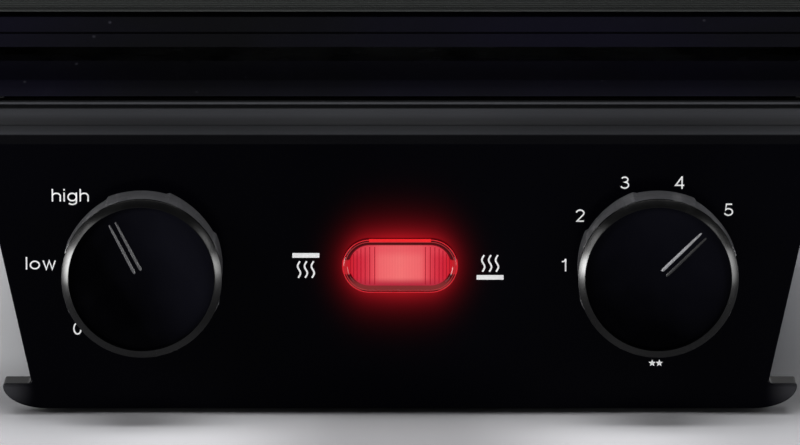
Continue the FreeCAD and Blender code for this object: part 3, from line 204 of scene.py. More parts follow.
finishSpec = {
    # colour, roughness, specular, metallic; mottling; sheen; grain
    "glossMoulding": (
        (0.0008, 0.0008, 0.0018), 0.16, 0.02, 0.0, ((0.0003, 0.0003, 0.0012), (0.0012, 0.0012, 0.0026), 9.0),
        (0.12, 0.22, 40.0), (900.0, 0.00001, 0.25)),
    "satinMoulding": (
        (0.012, 0.012, 0.013), 0.42, 0.4, 0.0, ((0.009, 0.009, 0.010), (0.014, 0.014, 0.0155), 25.0),
        (0.36, 0.48, 120.0), (4200.0, 0.00003, 0.45)),
    "casingPaint": (
        (0.016, 0.016, 0.018), 0.5, 0.3, 0.0, ((0.013, 0.013, 0.015), (0.019, 0.019, 0.021), 11.0),
        (0.44, 0.56, 160.0), (1900.0, 0.00008, 0.6)),
    "shadeAndPrintBlack": (             # near-black: painted shade on the front frame, seen only in the gaps round the drawer and tray, and on the door back and knob notches; also ink for the window's print dots
        (0.0005, 0.0005, 0.0006), 0.7, 0.01, 0.0, ((0.0003, 0.0003, 0.0004), (0.0009, 0.0009, 0.0010), 35.0),
        (0.6, 0.8, 120.0), (900.0, 0.00004, 0.4)),
    "screwSteel": (
        (0.10, 0.10, 0.105), 0.34, 0.5, 0.8, ((0.075, 0.075, 0.08), (0.14, 0.14, 0.145), 420.0),
        (0.28, 0.45, 600.0), (3000.0, 0.00002, 0.4)),
    "aluminisedSheet": (
        (0.42, 0.43, 0.44), 0.34, 0.5, 0.9, ((0.34, 0.35, 0.36), (0.50, 0.51, 0.52), 45.0),
        (0.28, 0.44, 30.0), (260.0, 0.00008, 0.3)),
    "smokedSheet": (           # dark sheet for the floor of the chamber, under the drip tray
        (0.030, 0.028, 0.026), 0.55, 0.3, 0.5, ((0.020, 0.019, 0.018), (0.045, 0.041, 0.037), 38.0),
        (0.48, 0.68, 60.0), (420.0, 0.00006, 0.4)),
    "heatTintedSheath": (      # bends and legs run from straw to blue-grey
        (0.10, 0.095, 0.09), 0.45, 0.5, 0.7,
        ((0.055, 0.058, 0.070), (0.15, 0.125, 0.095), 38.0, (1, 1, 1), (0.085, 0.078, 0.082)),
        (0.38, 0.55, 150.0), (1100.0, 0.00005, 0.5)),
    "chromedWire": (
        (0.62, 0.62, 0.63), 0.16, 0.5, 1.0, ((0.54, 0.54, 0.55), (0.68, 0.68, 0.69), 70.0),
        (0.10, 0.24, 90.0), (700.0, 0.00002, 0.3)),
    "temperedGlass": (
        (0.75, 0.78, 0.78), 0.04, 0.15, 0.0, ((0.70, 0.74, 0.74), (0.80, 0.82, 0.82), 20.0),
        (0.02, 0.07, 45.0), (12.0, 0.00004, 0.15)),
    "mattCeramic": (
        (0.80, 0.78, 0.73), 0.7, 0.4, 0.0, ((0.72, 0.69, 0.63), (0.85, 0.83, 0.79), 120.0),
        (0.6, 0.8, 200.0), (1500.0, 0.00005, 0.5)),
    "mattRubber": (
        (0.022, 0.022, 0.022), 0.75, 0.3, 0.0, ((0.018, 0.018, 0.018), (0.030, 0.030, 0.029), 90.0),
        (0.68, 0.85, 160.0), (2200.0, 0.00006, 0.6)),
    "tinnedBrass": (
        (0.72, 0.60, 0.32), 0.3, 0.5, 1.0, ((0.62, 0.50, 0.26), (0.78, 0.68, 0.42), 160.0),
        (0.24, 0.40, 240.0), (1800.0, 0.00002, 0.4)),
    "bareCopper": (
        (0.62, 0.33, 0.20), 0.35, 0.5, 1.0, ((0.46, 0.23, 0.14), (0.70, 0.40, 0.26), 130.0),
        (0.28, 0.48, 210.0), (1500.0, 0.00002, 0.4)),
    "paleMoulding": (
        (0.76, 0.75, 0.71), 0.5, 0.45, 0.0, ((0.70, 0.69, 0.64), (0.80, 0.79, 0.75), 60.0),
        (0.44, 0.58, 130.0), (2400.0, 0.00003, 0.4)),
    "leadSleeve": (
        (0.045, 0.045, 0.05), 0.55, 0.4, 0.0, ((0.038, 0.038, 0.042), (0.056, 0.056, 0.062), 110.0),
        (0.48, 0.62, 200.0), (2600.0, 0.00003, 0.4)),
    "glassBraid": (            # heat-proof sleeve, a fine crossing weave
        (0.66, 0.62, 0.55), 0.8, 0.3, 0.0, ((0.54, 0.50, 0.43), (0.74, 0.70, 0.63), 700.0),
        (0.7, 0.9, 300.0), (2600.0, 0.00012, 0.8)),
    "knobSkirtPlastic": (
        (0.058, 0.058, 0.063), 0.42, 0.3, 0.0, ((0.050, 0.050, 0.054), (0.068, 0.068, 0.073), 60.0),
        (0.36, 0.48, 200.0), (5000.0, 0.00002, 0.35)),
    "knobRimPlastic": (
        (0.0007, 0.0007, 0.0009), 0.24, 0.21, 0.0, ((0.0005, 0.0005, 0.0007), (0.0012, 0.0012, 0.0014), 60.0),
        (0.20, 0.28, 160.0), (3000.0, 0.00001, 0.2)),
}
slotFinishes = {
    "gloss_black": "glossMoulding", "satin_black": "satinMoulding", "casing_black": "casingPaint",
    "dark_steel": "screwSteel", "galvanised": "aluminisedSheet", "heater_sheath": "heatTintedSheath",
    "net_chrome": "chromedWire", "glass": "temperedGlass", "ceramic": "mattCeramic", "rubber": "mattRubber",
    "brass": "tinnedBrass", "copper": "bareCopper", "pale_plastic": "paleMoulding",
    "lead_sleeve": "leadSleeve", "glass_braid": "glassBraid",
}
glassSpec = {"Transmission Weight": 0.85, "IOR": 1.45, "Alpha": 0.6}


def plainFinish(name, kind=None):
    *base, tones, sheen, relief = finishSpec[kind or name]
    material = newMaterial(name, *base)
    mottle(material, *tones)
    roughen(material, *sheen)
    grain(material, *relief)
    return material


def deckPaint(spec):
    # painted light and shade by height: darker in the hollow of the ledge and round the lip's neck, a painted
    # highlight on the lip, and painted shade on the upright edge
    material = newMaterial("deckPaint", (0.033, 0.034, 0.037), 0.42, 0.03)
    ledge = mottle(material, (0.032, 0.033, 0.037), (0.038, 0.039, 0.043), 14.0, (0.15, 1, 1))
    streak = noiseOf(material, 260.0, (0.01, 1, 1.6))
    tone = blendOf(material, rangeOf(material, streak, 0.3, 0.7, 0.0, 0.22), ledge, spec["streakColour"])
    height = splitPlace(material)["Z"]
    # painted light and shade over the ledge, by height
    smoke = rampOf(material, rangeOf(material, height, spec["edgeTop"], spec["lipTop"]),
                   [(position, (level, level, level)) for position, level in spec["smoke"]])
    tone = blendOf(material, 1.0, tone, smoke, "MULTIPLY")
    # painted shade on the upright edge
    edge = rangeOf(material, height, spec["edgeTop"] - 0.3 * mm, spec["edgeTop"] + 0.2 * mm)
    paint(material, blendOf(material, edge, spec["shadedEdgeColour"], tone))
    roughen(material, 0.36, 0.46, 300.0, (0.08, 1, 1))
    grain(material, 1500.0, 0.00002, 0.35, (0.05, 1, 1))
    return material


def fleckedEnamel(name, creaseHeight=None):
    # dark glassy coat, bluish in places, with a few tiny pale flecks
    material = newMaterial(name, (0.0045, 0.0045, 0.008), 0.26, 0.03)
    tree = material.node_tree
    coat = mottle(material, (0.0056, 0.0057, 0.0068), (0.0070, 0.0064, 0.0138), 22.0, (0.4, 1, 1))
    if creaseHeight:   # painted shade above the finger crease, where the upper part of the front faces away from the light
        above = rangeOf(material, splitPlace(material)["Z"], creaseHeight - 0.9 * mm, creaseHeight + 0.7 * mm,
                        0.0, 0.55)
        coat = blendOf(material, above, coat, (0.0004, 0.0004, 0.0008))
    cells = put(tree, "ShaderNodeTexVoronoi", {"Vector": objectPlace(material, (0.8, 1, 1)), "Scale": 230.0},
                feature="F1")
    chance = put(tree, "ShaderNodeSeparateColor", {"Color": cells["Color"]})["Red"]
    spot = mathOf(material, (rangeOf(material, cells["Distance"], 0.13, 0.04), "*", ("greater_than", chance, 0.80)))
    paint(material, blendOf(material, spot, coat, (0.036, 0.036, 0.046)))
    roughen(material, 0.2, 0.3, 60.0)
    grain(material, 420.0, 0.00006, 0.4)
    return material


def brushedStrip():
    # dark grey-green steel, brushed along its length
    material = newMaterial("brushedStrip", (0.026, 0.028, 0.027), 0.38, 0.12, 0.1)
    wide = noiseOf(material, 700.0, (0.0008, 0.6, 1.0), 1.0)
    fine = noiseOf(material, 3000.0, (0.0006, 0.6, 1.0), 2.0)
    brushed = blendOf(material, rangeOf(material, ((wide, "*", 0.7), "+", (fine, "*", 0.3)), 0.36, 0.64, smooth=True),
                      (0.010, 0.0108, 0.0105), (0.040, 0.043, 0.041))
    # painted highlight: paler along the strip's lower edge, where it catches the light
    paintedEdgeHighlight = rangeOf(material, splitPlace(material)["Z"], stripEdge + 1.0 * mm, stripEdge + 0.5 * mm, 0.0, 0.75)
    paint(material, blendOf(material, paintedEdgeHighlight, brushed, (0.062, 0.066, 0.064)))
    roughen(material, 0.32, 0.44, 1200.0, (0.001, 1, 1))
    grain(material, 2400.0, 0.00002, 0.35, (0.001, 1, 1))
    return material


deckSpec = {
    "edgeTop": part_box("deck")[0].z + 3.1 * mm,
    "lipTop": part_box("deck")[1].z,
    "shadedEdgeColour": (0.0026, 0.0026, 0.0036),
    "streakColour": (0.022, 0.022, 0.025),
    "smoke": (                 # share of the height over the edge, level of the painted light and shade
        (0.0, 1.2), (0.0425, 0.94), (0.092, 0.76), (0.177, 0.58), (0.24, 0.40), (0.347, 0.50), (0.41, 0.62),
        (0.467, 0.78), (0.527, 0.98), (0.573, 1.12), (0.637, 1.18), (0.700, 1.26), (0.712, 0.30), (0.812, 0.30),
        (0.824, 2.6), (0.91, 2.6), (0.935, 0.6), (1.0, 0.1)),
}
traySpec = {"crease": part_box("tray_front")[0].z + 4.7 * mm}
finishes = {slot: plainFinish(name) for slot, name in slotFinishes.items()}
finishes["deck_grey"] = deckPaint(deckSpec)
finishes["enamel"] = fleckedEnamel("fleckedEnamel")
for socket, value in glassSpec.items():
    shaderOf(finishes["glass"]).inputs[socket].default_value = value
shadeAndPrint = plainFinish("shadeAndPrintBlack")
# the front frame and door back sheet are near-black: painted shade for the gaps round the drawer and tray
nodeFinishes = {
    "front_frame": shadeAndPrint,
    "door_back_sheet": shadeAndPrint,
    "door_strip": brushedStrip(),
    "chamber_floor": plainFinish("smokedSheet"),
    "tray_front": fleckedEnamel("trayEnamel", traySpec["crease"]),
}


def wearFinish(thing, material):
    thing.data.materials.clear()
    thing.data.materials.append(material)


for part in frame["record"]["subparts"]:
    finish = nodeFinishes.get(part["node"], finishes.get(part["material_slot"]))
    if finish:
        wearFinish(frame["nodes"][part["node"]], finish)
print("finishes on", len(frame["nodes"]), "frame nodes")


# the lamp's light on the gloss panel, falling off from the lens's outline

panelGlow = {"level": 0.36, "fade": 3.2 * mm, "width": 18 * mm, "colour": (1.0, 0.016, 0.030)}


def lampGlow(material, glow):
    place = splitPlace(material, tuple(-lampMiddle))
    across = mathOf(material, ("absolute", place["X"]))
    beyond = ("maximum", (across, "-", lampHalf - lampRound), 0.0)
    reach = ("sqrt", ((beyond, "^", 2.0), "+", (place["Z"], "*", place["Z"])))
    away = ("maximum", (reach, "-", lampRound), 0.0)
    fade = ("exponent", (away, "/", -glow["fade"]))
    sides = ("exponent", (((across, "/", glow["width"]), "^", 2.0), "*", -1.0))
    emit(material, put(material.node_tree, "ShaderNodeVectorMath", {
        0: glow["colour"], "Scale": ((fade, "*", sides), "*", glow["level"])}, operation="SCALE")["Vector"])


def paintFootReflection(material, spec):
    # painted reflection: paler towards the tips of the flared feet, on the flare's top
    place = splitPlace(material)
    out = rangeOf(material, ("absolute", place["X"]), spec["start"], spec["end"], smooth=True)
    up = rangeOf(material, place["Z"], 0.5 * mm, spec["height"], 0.1, 1.0, smooth=True)
    low = rangeOf(material, place["Z"], spec["height"] + 2.5 * mm, spec["height"] + 1.0 * mm)
    plain = shaderOf(material).inputs["Base Color"].links[0].from_socket
    paint(material, blendOf(material, ((out, "*", up), "*", low), plain, spec["colour"]))


footReflectionSpec = {"start": 117 * mm, "end": 127 * mm, "height": 8.0 * mm, "colour": (0.046, 0.046, 0.051)}
panelMoulding = plainFinish("panelMoulding", "glossMoulding")
lampGlow(panelMoulding, panelGlow)
paintFootReflection(panelMoulding, footReflectionSpec)
wearFinish(frame["nodes"]["front_fascia"], panelMoulding)


# mesh helpers

def tidyMesh(mesh, smooth=True):
    shell = bmesh.new()
    shell.from_mesh(mesh)
    bmesh.ops.remove_doubles(shell, verts=shell.verts, dist=1e-7)
    bmesh.ops.recalc_face_normals(shell, faces=shell.faces)
    shell.to_mesh(mesh)
    shell.free()
    if smooth:
        mesh.shade_smooth()
        mesh.set_sharp_from_angle(angle=math.radians(32))


def stand(name, mesh, material=None):
    thing = bpy.data.objects.new(name, mesh)
    bpy.context.scene.collection.objects.link(thing)
    if material:
        wearFinish(thing, material)
    return thing


def meshPiece(name, vertices, faces, material, smooth=True):
    mesh = bpy.data.meshes.new(name)
    mesh.from_pydata(vertices, [], faces)
    tidyMesh(mesh, smooth)
    return stand(name, mesh, material)


def wear(piece, body, slot, *replaced):
    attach(piece, body)
    if replaced:
        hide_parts(*replaced)


def closedLoft(rings, loop=False):
    # rings of the same number of places, closed at both ends or joined round in a loop
    count = len(rings[0])
    faces = []
    for ring in range(len(rings) if loop else len(rings) - 1):
        here, ahead = ring * count, (ring + 1) % len(rings) * count
        for index in range(count):
            following = (index + 1) % count
            faces.append((here + index, here + following, ahead + following, ahead + index))
    if not loop:
        faces.append(tuple(range(count)))
        faces.append(tuple(range((len(rings) - 1) * count, len(rings) * count)))
    return [place for ring in rings for place in ring], faces


def latheAlongY(name, profile, axis, segments, material):
    # profile of (radius, y) round an axis along Y
    turns = [2 * math.pi * index / segments for index in range(segments)]
    rings = [[(axis.x + radius * math.cos(turn), y, axis.z + radius * math.sin(turn)) for turn in turns]
             for radius, y in profile]
    return meshPiece(name, *closedLoft(rings), material)


def roundedRun(start, bulge, end, steps):
    # points from start to end along a curve that bulges towards a corner
    points = []
    for index in range(steps + 1):
        t = index / steps
        a, b, c = (1 - t) ** 2, 2 * t * (1 - t), t ** 2
        points.append(tuple(a * s + b * m + c * e for s, m, e in zip(start, bulge, end)))
    return points


# geometry node helpers: trees with named inputs, and plain meshes out of them

def newTree(name, sizes):
    tree = bpy.data.node_groups.new(name, "GeometryNodeTree")
    tree.interface.new_socket(name="Geometry", in_out="INPUT", socket_type="NodeSocketGeometry")
    tree.interface.new_socket(name="Geometry", in_out="OUTPUT", socket_type="NodeSocketGeometry")
    for label, kind in {**sizes, "finish": "Material"}.items():
        tree.interface.new_socket(name=label, in_out="INPUT", socket_type="NodeSocket" + kind)
    return tree, tree.nodes.new("NodeGroupInput").outputs


def endTree(tree, entry, geometry):
    whole = put(tree, "GeometryNodeRealizeInstances", {"Geometry": geometry})["Geometry"]
    dressed = put(tree, "GeometryNodeSetMaterial", {"Geometry": whole, "Material": entry["finish"]})["Geometry"]
    tree.links.new(dressed, tree.nodes.new("NodeGroupOutput").inputs["Geometry"])


def growPiece(name, tree, source, sizes, smooth=True):
    # the tree's result on a source mesh, as a plain mesh of its own; sizes may hold more than it asks for
    carrier = stand(name + "Carrier", source)
    modifier = carrier.modifiers.new("growth", "NODES")
    modifier.node_group = tree
    for item in tree.interface.items_tree:
        if item.in_out == "INPUT" and item.name in sizes:
            modifier[item.identifier] = sizes[item.name]
    bpy.context.view_layer.update()
    grown = carrier.evaluated_get(bpy.context.evaluated_depsgraph_get())
    mesh = bpy.data.meshes.new_from_object(grown)
    carrier.modifiers.remove(modifier)
    bpy.data.objects.remove(carrier)
    mesh.name = name
    tidyMesh(mesh, smooth)
    return stand(name, mesh)


def pointsMesh(places, **fields):
    # loose points that carry directions or sizes for a tree to read
    mesh = bpy.data.meshes.new("points")
    mesh.from_pydata(places, [], [])
    for label, values in fields.items():
        field = mesh.attributes.new(label, "FLOAT_VECTOR", "POINT")
        for item, value in zip(field.data, values):
            item.vector = value
    return mesh


scatterTree, entry = newTree("scatterOnPoints", {"shape": "Object"})
aim, size = (put(scatterTree, "GeometryNodeInputNamedAttribute", {"Name": label},
                 data_type="FLOAT_VECTOR")["Attribute"] for label in ("aim", "size"))
endTree(scatterTree, entry, put(scatterTree, "GeometryNodeInstanceOnPoints", {
    "Points": put(scatterTree, "GeometryNodeMeshToPoints", {"Mesh": entry["Geometry"]})["Points"],
    "Instance": put(scatterTree, "GeometryNodeObjectInfo", {"Object": entry["shape"]})["Geometry"],
    "Rotation": put(scatterTree, "FunctionNodeAlignRotationToVector", {"Vector": aim}, axis="Z")["Rotation"],
    "Scale": size})["Instances"])


def scatter(name, shape, places, aims, sizes, material):
    # copies of a small shape at places, each turned to its own direction
    return growPiece(name, scatterTree, pointsMesh(places, aim=aims, size=sizes), {"shape": shape, "finish": material})


# control knobs: a bright-edged rim, a crowned face and a skirt of ratchet-like facets

knobSpec = {
    "rim": 25.5 * mm,
    "rimDepth": 3.0 * mm,      # front to the facets
    "bevelDepth": 1.35 * mm,
    "bevelRound": 0.08 * mm,
    "faceRadius": 23.1 * mm,
    "faceDepth": 2.0 * mm,
    "crown": 0.9 * mm,
    "crownShares": (0.999, 0.985, 0.95, 0.88, 0.78, 0.65, 0.5, 0.35, 0.2, 0.08, 0.01),
    "ridges": 8,
    "crest": 0.35 * mm,        # proud of the rim
    "flat": 0.3 * mm,          # facet's middle under an arc
    "step": 0.6 * mm,
    "riser": 0.05,             # share of a facet taken by its step
    "runIn": 0.12 * mm,
    "notch": (0.55 * mm, 0.55 * mm, 0.16 * mm),
    "notchTurn": 2.4,          # degrees past a crest
    "pointer": (2.5 * mm, 20.0 * mm),
    "pointerGap": 2.2 * mm,
    "pointerWidth": 1.05 * mm,
    "pointerHeight": 0.5 * mm,
    "pointerTaper": ((0.0, 0.5), (0.02, 0.85), (0.05, 1.0), (0.3, 1.0), (0.6, 0.9), (0.9, 0.75), (0.98, 0.6),
                     (1.0, 0.3)),
    "pointerSection": ((-0.5, -0.4), (-0.44, 0.45), (-0.14, 1.0), (0.14, 1.0), (0.44, 0.45), (0.5, -0.4)),
    # the two bars of a knob get different levels: a painted highlight on the brighter bar and painted shade on the
    # duller one
    "pointerLevels": {"selector": (0.085, 0.105), "thermostat": (0.02, 0.42)},
    "faceLean": {"selector": 1.1, "thermostat": 0.35},
    "segments": 320,
}
knobTurns = {"selector": (117.5, 116.0, -1), "thermostat": (44.0, 62.0, 1)}   # pointer, first ridge, way


def knobFacePlastic(body):
    # painted reflection: a little paler towards the top and the right, with a random cloud of tone
    material = newMaterial(body + "KnobFacePlastic", (0.002, 0.002, 0.004), 0.34, 0.012)
    place = splitPlace(material, tuple(-knobAxes[body]))
    lean = ((place["X"], "*", knobSpec["faceLean"][body]), "+", (place["Z"], "*", 0.7))
    cloud = rangeOf(material, noiseOf(material, 45.0), 0.3, 0.7, -0.12, 0.12)
    pale = mathOf(material, (rangeOf(material, lean, -12 * mm, 20 * mm), "+", cloud))
    paint(material, blendOf(material, pale, (0.0, 0.0, 0.0004), (0.0060, 0.0060, 0.0098)))
    roughen(material, 0.28, 0.40, 90.0)
    grain(material, 2600.0, 0.00001, 0.3)
    return material


def pointerPlastic(name, level):
    material = newMaterial(name, (level, level, level * 1.04), 0.35, 0.5)
    mottle(material, (0.8 * level, 0.8 * level, 0.83 * level), (1.2 * level, 1.2 * level, 1.25 * level), 700.0)
    grain(material, 5000.0, 0.00001, 0.3)
    return material


ratchetTree, entry = newTree("ratchetSkirt", {
    "axis": "Vector", "ridges": "Int", "way": "Float", "firstRidge": "Float", "crest": "Float", "flat": "Float",
    "step": "Float", "riser": "Float", "runIn": "Float"})
away = put(ratchetTree, "ShaderNodeVectorMath", {0: placeIn(ratchetTree), 1: entry["axis"]},
           operation="SUBTRACT")["Vector"]
x, y, z = (partsOf(ratchetTree, away)[way] for way in "XYZ")
turns = (((("arctan2", z, x), "-", entry["firstRidge"]), "/", 2 * math.pi), "*", entry["ridges"])
along = reckon(ratchetTree, ("fract", (turns, "*", entry["way"])))
rest = reckon(ratchetTree, (1.0, "-", along))
fall = (((along, "*", rest), "*", (entry["flat"], "*", 4.0)), "+", (along, "*", entry["step"]))
climb = ("minimum", (rest, "/", entry["riser"]), 1.0)
runIn = ("minimum", ("maximum", (y, "/", entry["runIn"]), 0.0), 1.0)
reach = ((entry["crest"], "-", (fall, "*", climb)), "*", runIn)
radius = ("sqrt", ((x, "*", x), "+", (z, "*", z)))
grow = reckon(ratchetTree, ((reach, "/", radius), "+", 1.0))
moved = put(ratchetTree, "ShaderNodeVectorMath", {
    0: vectorOf(ratchetTree, (x, "*", grow), y, (z, "*", grow)), 1: entry["axis"]}, operation="ADD")["Vector"]
endTree(ratchetTree, entry, put(ratchetTree, "GeometryNodeSetPosition", {
    "Geometry": entry["Geometry"], "Position": moved})["Geometry"])


def unitRings(profile, sides):
    # rings round the Z axis, for a small shape that is scattered later
    return [[(radius * math.cos(2 * math.pi * k / sides), radius * math.sin(2 * math.pi * k / sides), z)
             for k in range(sides)] for radius, z in profile]


def pointerBar(name, axis, turn, front, spec, side, material):
    # one of the two slim ridges, which follows the crown of the face and narrows to its ends
    along = Vector((math.cos(turn), 0, math.sin(turn)))
    sideways = Vector((-math.sin(turn), 0, math.cos(turn)))
    inner, outer = spec["pointer"]
    rings = []
    for share, taper in spec["pointerTaper"]:
        reach = inner + (outer - inner) * share
        surface = front + spec["faceDepth"] - spec["crown"] * (1 - (reach / spec["faceRadius"]) ** 2)
        ring = []
        for lean, rise in spec["pointerSection"]:
            place = axis + along * reach
            place += sideways * (side * spec["pointerGap"] / 2 + lean * taper * spec["pointerWidth"])
            place.y = surface - max(rise * taper, -0.4) * spec["pointerHeight"]
            ring.append(tuple(place))
        rings.append(ring)
    return meshPiece(name, *closedLoft(rings), material)


def makeKnob(body, axis, spec):
    pointerTurn, ridgeTurn, way = knobTurns[body]
    low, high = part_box(body + "_knob")
    front, back = low.y, high.y
    skirtFront = front + spec["rimDepth"]
    rim, face, bevel = spec["rim"], spec["faceRadius"], front + spec["bevelDepth"]
    bend = (rim, bevel + spec["bevelRound"])
    profile = [(rim, skirtFront), bend]
    profile += roundedRun(bend, (rim, bevel), (rim - 0.06 * mm, bevel - 0.04 * mm), 2)[1:]
    profile += [(face + 0.35 * mm, front + 0.13 * mm), (face + 0.16 * mm, front + 0.02 * mm),
                (face + 0.06 * mm, front + 0.02 * mm), (face, front + 0.12 * mm),
                (face, front + spec["faceDepth"] + 0.4 * mm)]
    rimPiece = latheAlongY(body + "KnobRim", profile, axis, 192, rimPlastic)
    bare = latheAlongY("bareSkirt", [(rim, skirtFront), (rim, skirtFront + spec["runIn"]), (rim, back - 0.4 * mm),
                                     (rim - 0.4 * mm, back)], axis, spec["segments"], None)
    skirt = growPiece(body + "KnobSkirt", ratchetTree, bare.data, {
        **spec, "axis": (axis.x, skirtFront, axis.z), "way": float(way),
        "firstRidge": math.radians(ridgeTurn), "finish": skirtPlastic})
    bpy.data.objects.remove(bare)
    crown = [(face * spec["crownShares"][0], front + spec["faceDepth"] + 0.5 * mm)]
    crown += [(face * share, front + spec["faceDepth"] - spec["crown"] * (1 - share ** 2))
              for share in spec["crownShares"]]
    facePiece = latheAlongY(body + "KnobFace", crown, axis, 160, knobFacePlastic(body))
    bars = [pointerBar(body + "KnobPointer" + end, axis, math.radians(pointerTurn), front, spec, side,
                       pointerPlastic(body + "Pointer" + end, level))
            for end, side, level in zip(("Low", "High"), (-1, 1), spec["pointerLevels"][body])]
    places, aims = [], []
    for index in range(spec["ridges"]):
        turn = math.radians(ridgeTurn - way * spec["notchTurn"] + index * 360 / spec["ridges"])
        outward = Vector((math.cos(turn), 0, math.sin(turn)))
        places.append(tuple(Vector((axis.x, skirtFront + 0.55 * mm, axis.z)) + outward * (rim - 0.32 * mm)))
        aims.append(tuple(outward))
    # the notches are near-black: painted shade in the small hollow past each crest
    notches = scatter(body + "KnobNotches", dimple, places, aims, [spec["notch"]] * len(places), shadeAndPrint)
    for piece in (skirt, rimPiece, facePiece, notches, *bars):
        wear(piece, body, "satin_black")
    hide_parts(body + "_knob")


skirtPlastic, rimPlastic = plainFinish("knobSkirtPlastic"), plainFinish("knobRimPlastic")
dimple = meshPiece("dimple", *closedLoft(unitRings(((1.0, 0.0), (1.0, 0.6), (0.7, 1.0)), 8)), None)
for body, axis in knobAxes.items():
    makeKnob(body, axis, knobSpec)
bpy.data.objects.remove(dimple)
print("knobs made")


# pilot lamp: a clear red cap round a ribbed, lit diffuser

lampSpec = {
    "stand": 3.0 * mm,
    "lineInset": 0.3 * mm,     # lit lines round the cap
    "secondLine": 0.95 * mm,
    "lineStraight": 9.8 * mm,  # middle to where a line begins to turn
    "faceInset": 2.2 * mm,     # cap's outline to the diffuser
    "faceDepth": 1.1 * mm,     # diffuser behind the cap's front
    "barHalf": 9.9 * mm,
    "barHeight": 1.0 * mm,
    "barEnds": ((-1, 0.2), (-1, 0.0), (1, 0.0), (1, 0.2)),   # side, trim in millimetres
    "barSection": ((-0.8, 0.0), (-0.2, 0.02), (0.06, 0.18), (0.06, 0.9), (-0.8, 1.0)),
    "ribStart": 8.1 * mm,
    "ribPitch": 1.65 * mm,
    "ribSqueeze": 0.06 * mm,   # each rib a little nearer to the next
    "ribs": 7,
    "ribWidth": 0.26 * mm,
}


def stadiumRing(inset, y, steps=24):
    # places round the lamp's outline, brought in by an inset
    halfHeight = lampRound - inset
    straight = lampHalf - inset - halfHeight
    ring = []
    for side, start in ((1, -90), (-1, 90)):
        for index in range(steps + 1):
            turn = math.radians(start + 180 * index / steps)
            ring.append((lampMiddle.x + side * straight + halfHeight * math.cos(turn), y,
                         lampMiddle.z + halfHeight * math.sin(turn)))
    return ring


def stadiumLoft(name, profile, material):
    return meshPiece(name, *closedLoft([stadiumRing(inset, y) for inset, y in profile]), material)


def stadiumLine(name, inset, y, radius, straight, material):
    # a fine round bead along the outline
    rings = []
    for place in map(Vector, stadiumRing(inset, y)):
        inner = Vector((max(min(place.x, lampMiddle.x + straight), lampMiddle.x - straight), y, lampMiddle.z))
        outward = (place - inner).normalized()
        rings.append([tuple(place + radius * (outward * math.cos(t) + Vector((0, 1, 0)) * math.sin(t)))
                      for t in (math.pi * k / 3 for k in range(6))])
    return meshPiece(name, *closedLoft(rings, loop=True), material)


def glowing(name, colour, glow, roughness=0.25, specular=0.4):
    material = newMaterial(name, colour, roughness, specular)
    mottle(material, tuple(0.85 * c for c in colour), tuple(1.15 * c for c in colour), 220.0)
    grain(material, 900.0, 0.00001, 0.2)
    emit(material, glow)
    return material


def clearRedCap():
    # nearly black above the diffuser, brown where it is lit from inside below it, red at both ends
    material = glowing("clearRedCap", (0.02, 0.0005, 0.001), (0.0, 0.0, 0.0), 0.06, 0.12)
    place = splitPlace(material, tuple(-lampMiddle))
    lit = rangeOf(material, place["Z"], -3.0 * mm, -6.4 * mm, smooth=True)
    below = blendOf(material, lit, (0.050, 0.0005, 0.0016), (0.20, 0.026, 0.026))
    below = blendOf(material, rangeOf(material, place["Z"], -7.5 * mm, -7.8 * mm), below, (0.05, 0.002, 0.003))
    ends = rangeOf(material, ("absolute", place["X"]), 15.6 * mm, 16.0 * mm)
    level = rangeOf(material, ("absolute", (place["Z"], "+", 0.3 * mm)), 2.5 * mm, 2.1 * mm)
    emit(material, blendOf(material, (ends, "*", level), below, (0.50, 0.010, 0.018)))
    return material


def litDiffuser():
    # brightest and pinkest in the middle, deep red at both ends, with fine flutes
    material = glowing("litDiffuser", (0.10, 0.006, 0.008), (0.8, 0.1, 0.1), 0.3, 0.1)
    place = splitPlace(material, tuple(-lampMiddle))
    shade = rampOf(material, mathOf(material, (("absolute", place["X"]), "/", 17.0 * mm)), (
        (0.0, (0.83, 0.165, 0.165)), (0.38, (0.80, 0.130, 0.140)), (0.50, (0.72, 0.070, 0.090)),
        (0.62, (0.60, 0.032, 0.055)), (0.80, (0.57, 0.012, 0.034)), (0.95, (0.54, 0.010, 0.020))))
    low = rangeOf(material, place["Z"], -3.6 * mm, -6.2 * mm, smooth=True)
    shade = blendOf(material, low, shade, (0.42, 0.020, 0.045))
    top = rangeOf(material, place["Z"], 2.0 * mm, 5.5 * mm, 0.0, 0.55, smooth=True)
    shade = blendOf(material, top, shade, (0.70, 0.060, 0.085))
    flute = ("sine", (place["X"], "*", 2 * math.pi / (0.9 * mm)))
    emit(material, blendOf(material, rangeOf(material, flute, -1.0, 1.0, 0.0, 0.10), shade, (0.55, 0.02, 0.03)))
    return material


ribTree, entry = newTree("prismRibs", {
    "middle": "Vector", "ribs": "Int", "ribStart": "Float", "ribPitch": "Float", "ribSqueeze": "Float",
    "ribWidth": "Float", "straight": "Float", "halfHeight": "Float"})
number = put(ribTree, "GeometryNodeInputIndex", {})["Index"]
step = reckon(ribTree, ("floor", (number, "/", 2.0)))
side = ((("modulo", number, 2.0), "*", 2.0), "-", 1.0)
out = reckon(ribTree, (entry["ribStart"], "+", (
    (step, "*", entry["ribPitch"]), "-", ((step, "*", step), "*", entry["ribSqueeze"]))))
beyond = reckon(ribTree, ("maximum", (out, "-", entry["straight"]), 0.0))
halfUp = ("sqrt", ((entry["halfHeight"], "*", entry["halfHeight"]), "-", (beyond, "*", beyond)))
spot = put(ribTree, "ShaderNodeVectorMath", {
    0: vectorOf(ribTree, (out, "*", side)), 1: entry["middle"]}, operation="ADD")["Vector"]
row = put(ribTree, "GeometryNodeMeshLine", {"Count": (entry["ribs"], "*", 2.0), "Offset": (0, 0, 0)})["Mesh"]
row = put(ribTree, "GeometryNodeSetPosition", {"Geometry": row, "Position": spot})["Geometry"]
